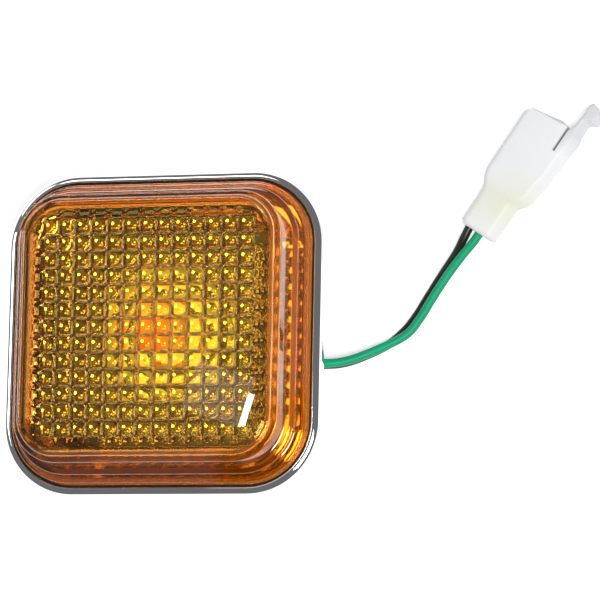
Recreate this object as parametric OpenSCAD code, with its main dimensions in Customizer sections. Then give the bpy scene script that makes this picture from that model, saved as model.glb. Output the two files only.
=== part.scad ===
// Side repeater lamp with a two-wire lead and plug, lying on its gasket with the lens up.
// The origin is the centre of the gasket's rear face. +X is to the right, where the lead leaves,
// +Y is the top of the lamp and +Z points out of the lens.
// Every ring of the lamp follows one rounded square. Its sections are drawn as an inset from the
// outer edge of the rim and a height.

/* [Rim and body] */
// Width of the rim
rim_w = 76; // [68:0.5:84]
// Height of the rim, from its lower to its upper side
rim_l = 75.2; // [68:0.5:84]
// Corner radius of the rim
rim_r = 17; // [15:0.5:19]
// Width of the bead that shows round the lens
bead_w = 1.9; // [1.5:0.1:2.2]
// Depth of the rim, front to back
rim_t = 4.2; // [3.6:0.1:5]
// Inset of the rear skirt from the rim
skirt_in = 8.7; // [7.5:0.1:9]
// Wall of the body
wall = 1.7; // [1.4:0.1:2]
// Depth of the upright part of the rear skirt
skirt_h = 7.5; // [7.3:0.1:8]
// Height of the mirror floor above the skirt's rear edge
floor_up = 11.5; // [11.3:0.1:12.5]
// Thickness of the mirror floor
floor_t = 2; // [1.6:0.1:2.2]
// Depth of the tapered part of the body
taper_h = 10.2; // [9:0.1:12]
// Width of the shelf under the rim
shelf_w = 3.5; // [3:0.1:4]

/* [Lens] */
// Height of the lens face above the rim
lens_h = 13.6; // [13:0.1:16]
// Thickness of the lens face
face_t = 2.4; // [2:0.1:2.6]
// Inset of the lens face's edge from the rim
face_in = 8.7; // [8.5:0.1:9]
// Width of the lens foot
foot_w = 2.1; // [1.8:0.1:2.3]
// Prisms along one side of the field
prism_n = 13; // [7:2:13]
// Pitch of the prisms
prism_pitch = 3.9; // [3:0.05:3.95]
// Groove between two prisms
prism_gap = 0.45; // [0.3:0.05:0.8]
// Rise of a prism at its middle
prism_rise = 0.85; // [0.6:0.05:1]
// Radius of a prism's dome
prism_dome = 4; // [3.8:0.1:6]

/* [Seals] */
// Thickness of the panel gasket under the skirt
gasket_t = 2.5; // [2:0.1:3.5]
// Width of the gasket's locating lip
gasket_lip_w = 0.9; // [0.7:0.1:1.2]
// Height of the gasket's locating lip
gasket_lip_h = 1.5; // [1:0.1:2]
// Thickness of the lens seal at the side of the foot
seal_side = 0.5; // [0.4:0.05:0.7]
// Thickness of the lens seal under the foot
seal_base = 0.8; // [0.5:0.1:1]

/* [Screw bosses] */
// Distance from the rim's upper or lower side to the nearer screw hole
boss_in = 15.6; // [15:0.1:17]
// Diameter of a boss
boss_d = 8.4; // [8:0.1:9]
// Gap between the end of a boss and the panel
boss_gap = 1; // [0.5:0.1:1.5]
// Diameter of the threaded inserts
insert_d = 5.6; // [5:0.1:6]
// Length of the threaded inserts
insert_l = 7; // [6:0.5:8]
// Core diameter of the insert's thread
thread_core_d = 3.3; // [2.5:0.1:3.5]

/* [Bulb] */
// Diameter of the glass capsule
bulb_d = 10; // [9:0.1:10.4]
// Length of the bulb, wedge base included
bulb_l = 26.8; // [25:0.1:27.5]
// Wall of the capsule
glass_t = 0.6; // [0.5:0.05:0.8]
// Width of the wedge base
wedge_w = 9.2; // [8.8:0.1:9.6]
// Thickness of the wedge base
wedge_t = 2.6; // [2.2:0.1:2.8]
// Length of the wedge base
wedge_l = 9; // [8.5:0.1:9.5]
// Distance between the two lead wires
bulb_lead_pitch = 5; // [4.6:0.1:5.2]
// Diameter of the bulb's lead wires
bulb_lead_d = 0.5; // [0.4:0.05:0.55]
// Diameter of the filament coil
filament_d = 0.8; // [0.6:0.1:1]

/* [Bulb holder] */
// Diameter of the hole in the mirror floor
holder_hole_d = 20; // [19.5:0.1:21]
// Clearance of the holder's neck in that hole, all round
neck_gap = 0.3; // [0.2:0.05:0.5]
// Diameter of the holder's flange
flange_d = 25; // [24.5:0.1:27]
// Thickness of the holder's flange
flange_t = 1.6; // [1.4:0.1:2]
// Thickness of the holder's seal
holder_seal_t = 1.2; // [1:0.1:1.5]
// Diameter of the holder's rear body
holder_d = 15.6; // [15.4:0.1:17]
// Gap between the holder's end and the panel
holder_gap = 1.6; // [1:0.1:1.8]
// Reach of a locking lug past the neck
lug_reach = 1.7; // [1.4:0.1:2]
// Width of a locking lug
lug_w = 4; // [3:0.1:5]
// Thickness of a locking lug
lug_t = 1.2; // [1:0.1:1.5]
// Grip ribs round the holder's end
grip_n = 16; // [8:1:24]

/* [Lead] */
// Diameter of a wire over its insulation
wire_d = 2.1; // [1.8:0.05:2.1]
// Clearance of a wire in its holes, on the diameter
wire_gap = 0.3; // [0.2:0.05:0.4]
// Thickness of a grommet flange
grommet_flange_t = 1.2; // [0.8:0.1:1.4]
// Reach of the grommet flange round its neck
grommet_lap = 0.8; // [0.5:0.1:0.8]
// Length of the grommet's tapered nose
grommet_nose = 2.4; // [2:0.1:2.6]

/* [Plug] */
// Length of the plug body
plug_l = 32.6; // [32:0.1:36]
// Width of the plug's mating end
plug_w = 10.9; // [10.6:0.1:12]
// Thickness of the plug's mating end
plug_t = 8.6; // [8:0.1:9.4]
// Width of the plug's wire end
neck_w = 9.1; // [9:0.1:10]
// Thickness of the plug's wire end
neck_t = 7.6; // [7:0.1:7.8]
// Length of the plug's wire end
neck_l = 10.2; // [10:0.1:11]
// Width of the plug's mouth
mouth_w = 8.3; // [7.6:0.1:8.6]
// Height of the plug's mouth
mouth_h = 5.8; // [5:0.1:6]
// Depth of the plug's mouth
mouth_l = 13.5; // [12:0.5:14]
// Width of a terminal cavity
cavity_w = 2.5; // [2.4:0.05:2.6]
// Thickness of the latch arm, along the plug's thickness
latch_t = 8; // [6:0.1:8.2]
// Width of the slit beside the latch arm
slit_w = 0.5; // [0.4:0.05:0.7]
// Length of the pins in the mouth
pin_l = 8.5; // [7:0.5:9]
// Thickness of the pins
pin_t = 0.8; // [0.6:0.1:1]

/* [Hidden] */

$fn = 64;
seat = 0.05;
corner_x = rim_w / 2 - rim_r;
corner_y = rim_l / 2 - rim_r;
boss_y = rim_l / 2 - boss_in;

// Heights, from the panel up.
skirt_z = gasket_t;
taper_z = skirt_z + skirt_h;
shelf_z = taper_z + taper_h;
rim_z = shelf_z + rim_t;
face_z = rim_z + lens_h;
floor_z = skirt_z + floor_up;
floor_low_z = floor_z - floor_t;

// Channel of the housing that takes the lens foot and its seal.
channel_base_t = 1.2;
inner_shelf_t = 1.2;
channel_z = shelf_z + channel_base_t;
channel_in = bead_w;
foot_in = channel_in + seal_side;
foot_z = channel_z + seal_base;
foot_gap = 0.4;
channel_end_in = foot_in + foot_w + foot_gap;
lip_t = 1.1;
lip_up = 1.6;

// Centres of the two wires where they leave the lamp, one above the other.
lead_y = -5.2;
black_exit_z = 4.3;
green_exit_z = 6.9;
wire_hole_d = wire_d + wire_gap;
grommet_wall = 0.9;
grommet_half = wire_hole_d / 2 + grommet_wall;
skirt_x = rim_w / 2 - skirt_in;

// Heights inside the holder and the bulb. The bulb hangs from the mirror floor's height.
holder_seal_z = floor_low_z - holder_seal_t;
flange_z = holder_seal_z - flange_t;
barrel_d = 2.2;
barrel_y = 2.5;
barrel_z = holder_gap + 2.6;
bore_d = barrel_d + 0.4;
tower_up = 2.6;
wedge_down = 8;
wedge_z = floor_z - wedge_down;
wedge_top_z = wedge_z + wedge_l;
bulb_top_z = wedge_z + bulb_l;
filament_up = 18.5;
filament_z = wedge_z + filament_up;
slot_z = wedge_z - 0.8;
slot_w = wedge_w + 0.6;
slot_t = 5.8;
capsule_gap = 0.3;
shoulder_h = 0.8;
shoulder_run = 1.4;

// Section helpers. A point is given by its inset from the rim's outer edge and its height.
function at(inset, z) = [rim_r - inset, z];

// Inset of the body's outer wall at height z on its tapered part.
function body_in(z) = skirt_in + (shelf_w - skirt_in) * (z - taper_z) / taper_h;

// Points of an arc round an inset and a height, from angle a0 to a1.
function arc(inset, z, r, a0, a1, n) =
    [for (i = [0:n]) at(inset - r * cos(a0 + (a1 - a0) * i / n), z + r * sin(a0 + (a1 - a0) * i / n))];

// A section carried round the lamp's rounded square.
module ring() {
    for (q = [0:3])
        translate([(q == 0 || q == 3 ? 1 : -1) * corner_x, (q < 2 ? 1 : -1) * corner_y, 0])
            rotate([0, 0, 90 * q])
                rotate_extrude(angle = 90)
                    children();
    for (s = [0, 180])
        rotate([0, 0, s]) {
            translate([corner_x, corner_y, 0])
                rotate([90, 0, 0])
                    linear_extrude(2 * corner_y)
                        children();
            translate([-corner_x, corner_y, 0])
                rotate([90, 0, 90])
                    linear_extrude(2 * corner_x)
                        children();
        }
}

// A flat plate with the lamp's rounded square, inset from the rim.
module plate(inset, t) {
    r = rim_r - inset;
    linear_extrude(t) {
        square([2 * corner_x, 2 * (corner_y + r)], center = true);
        square([2 * (corner_x + r), 2 * corner_y], center = true);
        for (x = [-corner_x, corner_x], y = [-corner_y, corner_y])
            translate([x, y])
                circle(r);
    }
}

// A rounded rectangle about the origin.
module soft_square(w, h, r) {
    square([w - 2 * r, h], center = true);
    square([w, h - 2 * r], center = true);
    for (x = [-1, 1], y = [-1, 1])
        translate([x * (w / 2 - r), y * (h / 2 - r)])
            circle(r, $fn = 32);
}

// Housing: rim bead, channel for the lens, tapered body, mirror floor with its dish, rear skirt.
module housing_section() {
    bead_in_r = 0.5;
    bead_out_r = bead_w - bead_in_r - 0.2;
    edge_r = 0.8;
    fillet = 0.8;
    slant = 0.1;
    under_z = floor_low_z - fillet;
    lip_z = channel_z + lip_up;
    lip_in = channel_end_in + lip_t;
    polygon(concat(
        [at(channel_in, channel_z)],
        arc(channel_in - bead_in_r, rim_z - bead_in_r, bead_in_r, 180, 90, 5),
        arc(bead_out_r, rim_z - bead_out_r, bead_out_r, 90, 0, 8),
        arc(edge_r, shelf_z + edge_r, edge_r, 0, -90, 6),
        [at(shelf_w, shelf_z),
         at(skirt_in, taper_z),
         at(skirt_in, skirt_z),
         at(skirt_in + wall, skirt_z),
         at(skirt_in + wall, taper_z),
         at(body_in(under_z) + wall + slant, under_z),
         at(body_in(floor_z) + wall + slant, floor_z),
         at(lip_in, shelf_z - inner_shelf_t),
         at(lip_in, lip_z),
         at(channel_end_in, lip_z),
         at(channel_end_in, channel_z)]));
}

// The dish round the bulb is part of a parabola on the mirror floor.
dish_r = 12.2;
dish_h = 3.6;
dish_t = 0.9;
dish_focus = 5.5;
dish_steps = 6;
dish_out_r = sqrt(dish_r * dish_r + 4 * dish_focus * dish_h);

// Height of the dish above the mirror floor at radius r, and the radii of its points.
function dish_up(r) = (r * r - dish_r * dish_r) / (4 * dish_focus);
function dish_at(i) = dish_r + (dish_out_r - dish_r) * i / dish_steps;

module dish() {
    rotate_extrude()
        polygon(concat(
            [for (i = [0:dish_steps]) [dish_at(i), floor_z + dish_up(dish_at(i))]],
            [for (i = [dish_steps:-1:0]) [dish_at(i) + dish_t, floor_z - seat + dish_up(dish_at(i))]]));
}

module lug_sector(r0, r1, w, z, t) {
    intersection() {
        translate([0, 0, z])
            difference() {
                cylinder(r = r1, h = t);
                translate([0, 0, -1])
                    cylinder(r = r0, h = t + 2);
            }
        translate([0, -w / 2, z - 1])
            cube([r1 + 1, w, t + 2]);
    }
}

lug_r = holder_hole_d / 2 - neck_gap + lug_reach;

module boss(y) {
    rib_end = rim_l / 2 - skirt_in - wall / 2;
    difference() {
        union() {
            translate([0, y, boss_gap])
                cylinder(d = boss_d, h = floor_low_z - boss_gap + seat);
            translate([-wall / 2, y > 0 ? y : -rib_end, skirt_z + 2])
                cube([wall, rib_end - abs(y), floor_low_z - skirt_z - 2 + seat]);
        }
        translate([0, y, boss_gap - 1])
            cylinder(d = insert_d, h = insert_l + 1);
        translate([0, y, boss_gap])
            cylinder(d = thread_core_d + 0.6, h = insert_l + 1.5);
    }
}

module grommet_slot(w, top_r, x0, x1) {
    translate([x0, lead_y, 0])
        rotate([90, 0, 90])
            linear_extrude(x1 - x0) {
                translate([-w, skirt_z - 1])
                    square([2 * w, green_exit_z - skirt_z + 1]);
                translate([0, green_exit_z])
                    circle(top_r);
            }
}

module housing() color("silver") {
    difference() {
        union() {
            ring() housing_section();
            translate([0, 0, floor_low_z])
                plate(body_in(floor_low_z) + wall / 2, floor_t);
        }
        translate([0, 0, floor_low_z - 1])
            cylinder(d = holder_hole_d, h = floor_t + 2);
        for (a = [60:120:300])
            rotate([0, 0, a])
                lug_sector(1, lug_r + 0.3, lug_w + 0.6, floor_low_z - 1, floor_t + 2);
        grommet_slot(grommet_half, grommet_half, skirt_x - wall - 1, skirt_x + 1);
    }
    dish();
    boss(boss_y);
    boss(-boss_y);
}

// Lens: side wall in four steps, flat face, and a square field of pillow prisms on the inside.
// Each step stands at the named reach inside the foot and ends in a ledge at the named height.
step_in = [0.35, 2, 4.1];
step_ledge_in = [1.6, 3.3];
step_z = [rim_z + 1.9, rim_z + 4.9, face_z - 1.6];
step_edge_r = 0.45;
face_edge_r = 0.9;
face_under_z = face_z - face_t;
inner_in = [2.1, 0.1];
inner_z = [face_under_z - 3.6, rim_z + 2.8, rim_z - 0.4];

function step(k) = arc(foot_in + step_in[k] + step_edge_r, step_z[k] - step_edge_r, step_edge_r, 0, 90, 3);

module lens_section() {
    face_lap = 1.2;
    corner = 0.5;
    polygon(concat(
        [at(foot_in, foot_z),
         at(foot_in, rim_z - 0.2)],
        step(0),
        [at(foot_in + step_ledge_in[0], step_z[0])],
        step(1),
        [at(foot_in + step_ledge_in[1], step_z[1])],
        step(2),
        [at(face_in - face_edge_r - 0.3, step_z[2])],
        arc(face_in, face_z - face_edge_r, face_edge_r, 0, 90, 5),
        [at(face_in + face_lap, face_z),
         at(face_in + face_lap, face_under_z),
         at(face_in + face_lap - corner, face_under_z),
         at(face_in - 0.4, inner_z[0]),
         at(foot_in + foot_w + inner_in[0], inner_z[1]),
         at(foot_in + foot_w + inner_in[1], inner_z[2]),
         at(foot_in + foot_w, foot_z)]));
}

module prism() {
    side = prism_pitch - prism_gap;
    intersection() {
        translate([0, 0, prism_dome - prism_rise])
            sphere(r = prism_dome, $fn = 48);
        translate([-side / 2, -side / 2, -prism_rise - 1])
            cube([side, side, prism_rise + 1 + seat]);
    }
}

module lens() color("orange") {
    ring() lens_section();
    translate([0, 0, face_under_z])
        plate(face_in + face_edge_r, face_t);
    first = -(prism_n - 1) / 2;
    for (i = [0:prism_n - 1], j = [0:prism_n - 1])
        translate([(first + i) * prism_pitch, (first + j) * prism_pitch, face_under_z])
            prism();
}

// Lens seal: one leg under the foot and one up its outer side.
seal_down = 0.5;

module lens_seal() color("black")
    ring()
        polygon([at(channel_in, channel_z),
                 at(channel_in, rim_z - seal_down),
                 at(foot_in, rim_z - seal_down),
                 at(foot_in, foot_z),
                 at(foot_in + foot_w, foot_z),
                 at(foot_in + foot_w, channel_z)]);

// Gasket between the rear skirt and the panel, with a lip inside the skirt.
gasket_out = 0.2;

module panel_gasket() color("black") {
    lip_in = skirt_in + wall;
    notch_half = grommet_half + grommet_lap + 0.3;
    notch_l = 3;
    difference() {
        ring()
            polygon([at(skirt_in - gasket_out, 0),
                     at(skirt_in - gasket_out, gasket_t),
                     at(lip_in, gasket_t),
                     at(lip_in, gasket_t + gasket_lip_h),
                     at(lip_in + gasket_lip_w, gasket_t + gasket_lip_h),
                     at(lip_in + gasket_lip_w, 0)]);
        translate([skirt_x - wall - notch_l, lead_y - notch_half, gasket_t])
            cube([notch_l, 2 * notch_half, gasket_lip_h + 1]);
    }
}

// Threaded insert with a waist between two knurled bands, seated on the boss's inner step.
module screw_insert(y) color("goldenrod") {
    r = insert_d / 2 - seat;
    waist = 0.4;
    translate([0, y, boss_gap])
        rotate_extrude()
            polygon([[thread_core_d / 2, 0],
                     [r, 0],
                     [r, insert_l * 0.4],
                     [r - waist, insert_l * 0.45],
                     [r - waist, insert_l * 0.55],
                     [r, insert_l * 0.6],
                     [r, insert_l],
                     [thread_core_d / 2, insert_l]]);
}

module screw_insert_top() screw_insert(boss_y);
module screw_insert_bottom() screw_insert(-boss_y);

// Twist-in bulb holder: closed rear body, flange, neck with three lugs and a tower for the wedge.
module bulb_holder() color("gainsboro") {
    neck_r = holder_hole_d / 2 - neck_gap;
    lug_z = floor_z + 0.2;
    neck_top_z = lug_z + lug_t;
    chamfer = 0.8;
    rib_r = 0.6;
    lead_side = 150;
    difference() {
        union() {
            rotate_extrude()
                polygon([[0, holder_gap],
                         [holder_d / 2 - chamfer, holder_gap],
                         [holder_d / 2, holder_gap + chamfer],
                         [holder_d / 2, flange_z],
                         [flange_d / 2, flange_z],
                         [flange_d / 2, holder_seal_z],
                         [neck_r, holder_seal_z],
                         [neck_r, neck_top_z],
                         [holder_d / 2, neck_top_z],
                         [holder_d / 2, neck_top_z + tower_up - chamfer],
                         [holder_d / 2 - chamfer, neck_top_z + tower_up],
                         [0, neck_top_z + tower_up]]);
            for (a = [0:120:240])
                rotate([0, 0, a])
                    lug_sector(neck_r - 1, lug_r, lug_w, lug_z, lug_t);
            for (i = [0:grip_n - 1])
                if (abs(i * 360 / grip_n - 180) < lead_side)
                    rotate([0, 0, i * 360 / grip_n])
                        translate([holder_d / 2, 0, holder_gap + chamfer])
                            cylinder(r = rib_r, h = flange_z - holder_gap - chamfer + seat, $fn = 16);
        }
        translate([-slot_w / 2, -slot_t / 2, slot_z])
            cube([slot_w, slot_t, neck_top_z + tower_up - slot_z + 1]);
        translate([0, 0, wedge_top_z - shoulder_h - capsule_gap])
            cylinder(d = bulb_d + 2 * capsule_gap, h = neck_top_z + tower_up - wedge_top_z + 2);
        translate([-slot_w / 2, barrel_y, barrel_z])
            rotate([0, 90, 0])
                cylinder(d = bore_d, h = slot_w / 2 + holder_d);
        translate([0, -barrel_y, barrel_z])
            rotate([0, 90, 0])
                cylinder(d = bore_d, h = holder_d);
    }
}

module holder_seal() color("black")
    translate([0, 0, holder_seal_z])
        rotate_extrude()
            translate([holder_hole_d / 2, 0])
                square([(flange_d - holder_hole_d) / 2 - 0.3, holder_seal_t]);

// Spring contact: wire barrel, foot and a bowed leaf that presses the bulb's folded lead.
// It is drawn for the +Y side.
contact_t = 0.35;
contact_w = 3.6;
leaf_z = [wedge_z + 1.5, wedge_z + 4.4, wedge_z + 5.6, wedge_z + 7.4];
leaf_y = wedge_t / 2 + bulb_lead_d + contact_t / 2 + seat;

module contact(x, barrel_x, barrel_l) {
    leaf = [[barrel_y, barrel_z + barrel_d / 2 - 0.3],
            [barrel_y, leaf_z[0]],
            [leaf_y, leaf_z[1]],
            [leaf_y, leaf_z[2]],
            [barrel_y + 0.1, leaf_z[3]]];
    translate([x - contact_w / 2, 0, 0])
        rotate([90, 0, 90])
            linear_extrude(contact_w)
                polygon(concat(
                    [for (p = leaf) [p[0] - contact_t / 2, p[1]]],
                    [for (i = [len(leaf) - 1:-1:0]) [leaf[i][0] + contact_t / 2, leaf[i][1]]]));
    translate([barrel_x, barrel_y, barrel_z])
        rotate([0, 90, 0])
            cylinder(d = barrel_d, h = barrel_l);
}

barrel_l = 4.4;

module holder_contact_left() color("goldenrod")
    contact(-bulb_lead_pitch / 2, GREEN_ROUTE[0][0] - barrel_l, barrel_l);

module holder_contact_right() color("goldenrod")
    mirror([0, 1, 0])
        contact(bulb_lead_pitch / 2, BLACK_ROUTE[0][0] - barrel_l, barrel_l);

// Bulb: a blown capsule that closes into a flat wedge, with a passage for each lead wire.
module bulb_glass() color("white", 0.5) {
    r = bulb_d / 2;
    inner_r = r - glass_t;
    crown_z = bulb_top_z - r;
    hollow_z = wedge_top_z + 2;
    passage_d = bulb_lead_d + 0.1;
    difference() {
        union() {
            rotate_extrude()
                polygon(concat(
                    [[0, wedge_top_z - shoulder_h],
                     [r * 0.72, wedge_top_z - shoulder_h],
                     [r, wedge_top_z + shoulder_run]],
                    [for (a = [0:10:90]) [r * cos(a), crown_z + r * sin(a)]],
                    [for (a = [90:-10:0]) [inner_r * cos(a), crown_z + inner_r * sin(a)]],
                    [[inner_r, hollow_z + 1], [inner_r * 0.7, hollow_z], [0, hollow_z]]));
            translate([-wedge_w / 2, -wedge_t / 2, wedge_z])
                cube([wedge_w, wedge_t, wedge_l]);
        }
        for (x = [-1, 1])
            translate([x * bulb_lead_pitch / 2, 0, wedge_z - 1])
                cylinder(d = passage_d, h = wedge_l + 5, $fn = 24);
    }
}

module bulb_filament() color("dimgray")
    translate([-(bulb_lead_pitch - bulb_lead_d) / 2 + seat, 0, filament_z])
        rotate([0, 90, 0])
            cylinder(d = filament_d, h = bulb_lead_pitch - bulb_lead_d - 2 * seat, $fn = 32);

// Lead wire: down through the wedge, under it and up its flat side.
module bulb_lead(x, side) {
    fold_y = side * (wedge_t + bulb_lead_d) / 2;
    fold_l = 6.5;
    low_z = wedge_z - bulb_lead_d / 2;
    translate([x, 0, low_z])
        cylinder(d = bulb_lead_d, h = filament_z - low_z + 0.4, $fn = 24);
    translate([x, fold_y, low_z])
        cylinder(d = bulb_lead_d, h = fold_l, $fn = 24);
    translate([x, 0, low_z])
        rotate([-90 * side, 0, 0])
            cylinder(d = bulb_lead_d, h = abs(fold_y), $fn = 24);
    for (y = [0, fold_y])
        translate([x, y, low_z])
            sphere(d = bulb_lead_d, $fn = 24);
}

module bulb_lead_left() color("silver") bulb_lead(-bulb_lead_pitch / 2, 1);
module bulb_lead_right() color("silver") bulb_lead(bulb_lead_pitch / 2, -1);

// Grommet: neck in the skirt's slot, a flange on each side of the wall and a tapered nose.
module wire_grommet() color("black") {
    flange_half = grommet_half + grommet_lap;
    nose_x = skirt_x + grommet_flange_t;
    nose_half = grommet_half - 0.4;
    difference() {
        union() {
            grommet_solid(grommet_half - seat, skirt_x - wall, skirt_x);
            grommet_solid(flange_half, skirt_x - wall - grommet_flange_t, skirt_x - wall);
            grommet_solid(flange_half, skirt_x, nose_x);
            hull() {
                grommet_solid(grommet_half, nose_x - seat, nose_x);
                grommet_solid(nose_half, nose_x + grommet_nose - seat, nose_x + grommet_nose);
            }
        }
        for (z = [black_exit_z, green_exit_z])
            translate([skirt_x - wall - 4, lead_y, z])
                rotate([0, 90, 0])
                    cylinder(d = wire_hole_d, h = wall + 12);
    }
}

module grommet_solid(half, x0, x1) {
    intersection() {
        grommet_slot(half, half, x0, x1);
        translate([x0 - 1, lead_y - 10, skirt_z])
            cube([x1 - x0 + 2, 20, 20]);
    }
}

// Routes of the two wires, from the contact barrels to the crimps in the plug.
GREEN_ROUTE = [[0, 2.5, 4.2], [5, 2.5, 4.2], [9, 2.4, 4.4], [14, 0.6, 5.1], [20, -3.4, 6.4],
               [25, -5.2, 6.9], [30, -5.2, 6.9], [34.5, -5.2, 6.8], [37.5, -5, 6.3],
               [41.6, -3.9, 5.3], [48, -1.2, 4.3], [53.2, 1.7, 3.6], [56.2, 5.3, 3.4],
               [59.2, 10.2, 3.3], [62.5, 15.2, 3.4], [66.2, 19.9, 3.9], [69.1, 23.2, 4.3],
               [70.8, 25.8, 4.3], [72.4, 28.2, 4.3]];
BLACK_ROUTE = [[4.8, -2.5, 4.2], [9, -2.5, 4.2], [14, -3.2, 4.2], [20, -4.8, 4.3], [25, -5.2, 4.3],
               [30, -5.2, 4.3], [34.5, -5.2, 4.2], [37.5, -4.95, 3.7], [41.4, -3.75, 2.7],
               [47.6, -0.8, 1.5], [51.9, 2.6, 1.2], [54.9, 6.3, 1.1], [58, 11.3, 1.1],
               [61.2, 16.2, 1.4], [64.5, 20.7, 2.5], [66.7, 24.3, 3.9], [68.4, 27.4, 4.3],
               [70, 29.8, 4.3]];
RING_STEP = 4.6;
WIRE_SIDES = 8;

// Catmull-Rom spline through the route's points.
function spline(a, b, c, d, t) =
    0.5 * (2 * b + (c - a) * t + (2 * a - 5 * b + 4 * c - d) * t * t + (3 * b - a - 3 * c + d) * t * t * t);
function clamp(i, n) = max(0, min(n - 1, i));
function along(p, k, t) = spline(p[clamp(k - 1, len(p))], p[k], p[clamp(k + 1, len(p))],
                                 p[clamp(k + 2, len(p))], t);
function steps(p, k) = max(1, round(norm(p[k + 1] - p[k]) / RING_STEP));
function centres(p) = concat(
    [for (k = [0:len(p) - 2]) for (s = [0:steps(p, k) - 1]) along(p, k, s / steps(p, k))],
    [p[len(p) - 1]]);
function unit(v) = v / norm(v);
function heading(c, i) = unit(c[clamp(i + 1, len(c))] - c[clamp(i - 1, len(c))]);

// One ring of the tube, square to the route.
function wire_ring(c, i) =
    let (t = heading(c, i), side = unit(cross([0, 0, 1], t)), up = cross(t, side))
    [for (k = [0:WIRE_SIDES - 1])
        c[i] + wire_d / 2 * (cos(360 * k / WIRE_SIDES) * side + sin(360 * k / WIRE_SIDES) * up)];

module wire(route) {
    c = centres(route);
    n = len(c);
    m = WIRE_SIDES;
    polyhedron(
        points = [for (i = [0:n - 1]) each wire_ring(c, i)],
        faces = concat(
            [[for (k = [0:m - 1]) k]],
            [for (i = [0:n - 2], k = [0:m - 1])
                [i * m + k, (i + 1) * m + k, (i + 1) * m + (k + 1) % m, i * m + (k + 1) % m]],
            [[for (k = [m - 1:-1:0]) (n - 1) * m + k]]),
        convexity = 6);
}

module green_wire() color("mediumseagreen") wire(GREEN_ROUTE);
module black_wire() color("black") wire(BLACK_ROUTE);

// Plug. Its own X runs from the wire end to the mating end, its Y to the left and Z up.
PLUG_AT = [69.8, 25.2, 0];
PLUG_TURN = 56;
plug_mid_y = 0.55;
plug_mid_z = plug_t / 2;
green_y = -0.5;
black_y = 2.4;
wire_stop_x = 4;
crimp_l = 4;
cavity_x = wire_stop_x + crimp_l + 0.6;
mouth_x = plug_l - mouth_l;
body_low_y = plug_mid_y - plug_w / 2;
body_high_y = plug_mid_y + plug_w / 2;

module place_plug()
    translate(PLUG_AT)
        rotate([0, 0, PLUG_TURN])
            children();

// A rounded section in the plug's Y and Z, run from x0 to x1.
module plug_bar(x0, x1, w, h, r, y) {
    translate([x0, y, plug_mid_z])
        rotate([90, 0, 90])
            linear_extrude(x1 - x0)
                soft_square(w, h, r);
}

// Seen from above: wire end, shoulders, and a mating end with a rounded nose.
module plug_plan() {
    shoulder_x = neck_l + 3;
    nose = 2.2;
    bow = 0.6;
    polygon(concat(
        [[0, -neck_w / 2],
         [neck_l, -neck_w / 2],
         [shoulder_x, body_low_y],
         [plug_l - bow, body_low_y]],
        [for (i = [1:3]) [plug_l - bow + bow * sin(60 * i), body_low_y + i * plug_w / 5]],
        [[plug_l - bow, body_high_y - nose],
         [plug_l - nose, body_high_y - 0.2],
         [plug_l - nose - 1, body_high_y],
         [shoulder_x, body_high_y],
         [neck_l, neck_w / 2],
         [0, neck_w / 2]]));
}

// The latch arm flares away from the body and ends in a hooked nose past the mating end.
// Its points are given from the mating end along the plug, and out from the body's side.
latch_root_x = 26;
latch_hook = [[-3.6, 3.1], [-2, 3], [-1.6, 2.6], [1.8, 2.4], [2.6, 2.8], [3.4, 4.5], [5, 5.2], [5.8, 4.8],
              [6.4, 3.6], [7.1, 2.3], [6.8, 1.7], [5.6, 1.4], [4.2, 1.6], [0.9, 1.4], [-0.8, 0.8]];

module latch_plan() {
    root_y = body_low_y + 1;
    polygon(concat(
        [[neck_l + 0.4, root_y],
         [neck_l - 0.2, -neck_w / 2 - 0.3],
         [neck_l + 1, -neck_w / 2 - 1.4],
         [neck_l + 2.2, -neck_w / 2 - 1.9],
         [neck_l + 4, -neck_w / 2 - 2.1],
         [neck_l + 9, -neck_w / 2 - 2.9]],
        [for (p = latch_hook) [plug_l + p[0], body_low_y - p[1]]],
        [[latch_root_x, body_low_y - slit_w],
         [latch_root_x, root_y]]));
}

module plug_housing() color("whitesmoke") place_plug() {
    latch_z = (plug_t - latch_t) / 2;
    lead_in = 0.6;
    difference() {
        union() {
            intersection() {
                union() {
                    plug_bar(0, neck_l + 1, neck_w, neck_t, 1.4, 0);
                    plug_bar(neck_l, plug_l + 1, plug_w, plug_t, 1.6, plug_mid_y);
                }
                linear_extrude(plug_t + 1)
                    plug_plan();
            }
            translate([0, 0, latch_z])
                linear_extrude(latch_t)
                    latch_plan();
        }
        plug_bar(mouth_x, plug_l + 5, mouth_w, mouth_h, 0.8, plug_mid_y);
        plug_bar(plug_l - lead_in, plug_l + 5, mouth_w + lead_in, mouth_h + lead_in, 1, plug_mid_y);
        for (y = [green_y, black_y]) {
            translate([-1, y, plug_mid_z])
                rotate([0, 90, 0])
                    cylinder(d = wire_hole_d, h = cavity_x + 1.5);
            translate([cavity_x, y - cavity_w / 2, plug_mid_z - cavity_w / 2])
                cube([mouth_x - cavity_x + 1, cavity_w, cavity_w]);
        }
        translate([latch_root_x, body_low_y - slit_w, latch_z - 1])
            cube([plug_l - latch_root_x + 1, slit_w, latch_t + 2]);
    }
}

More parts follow.
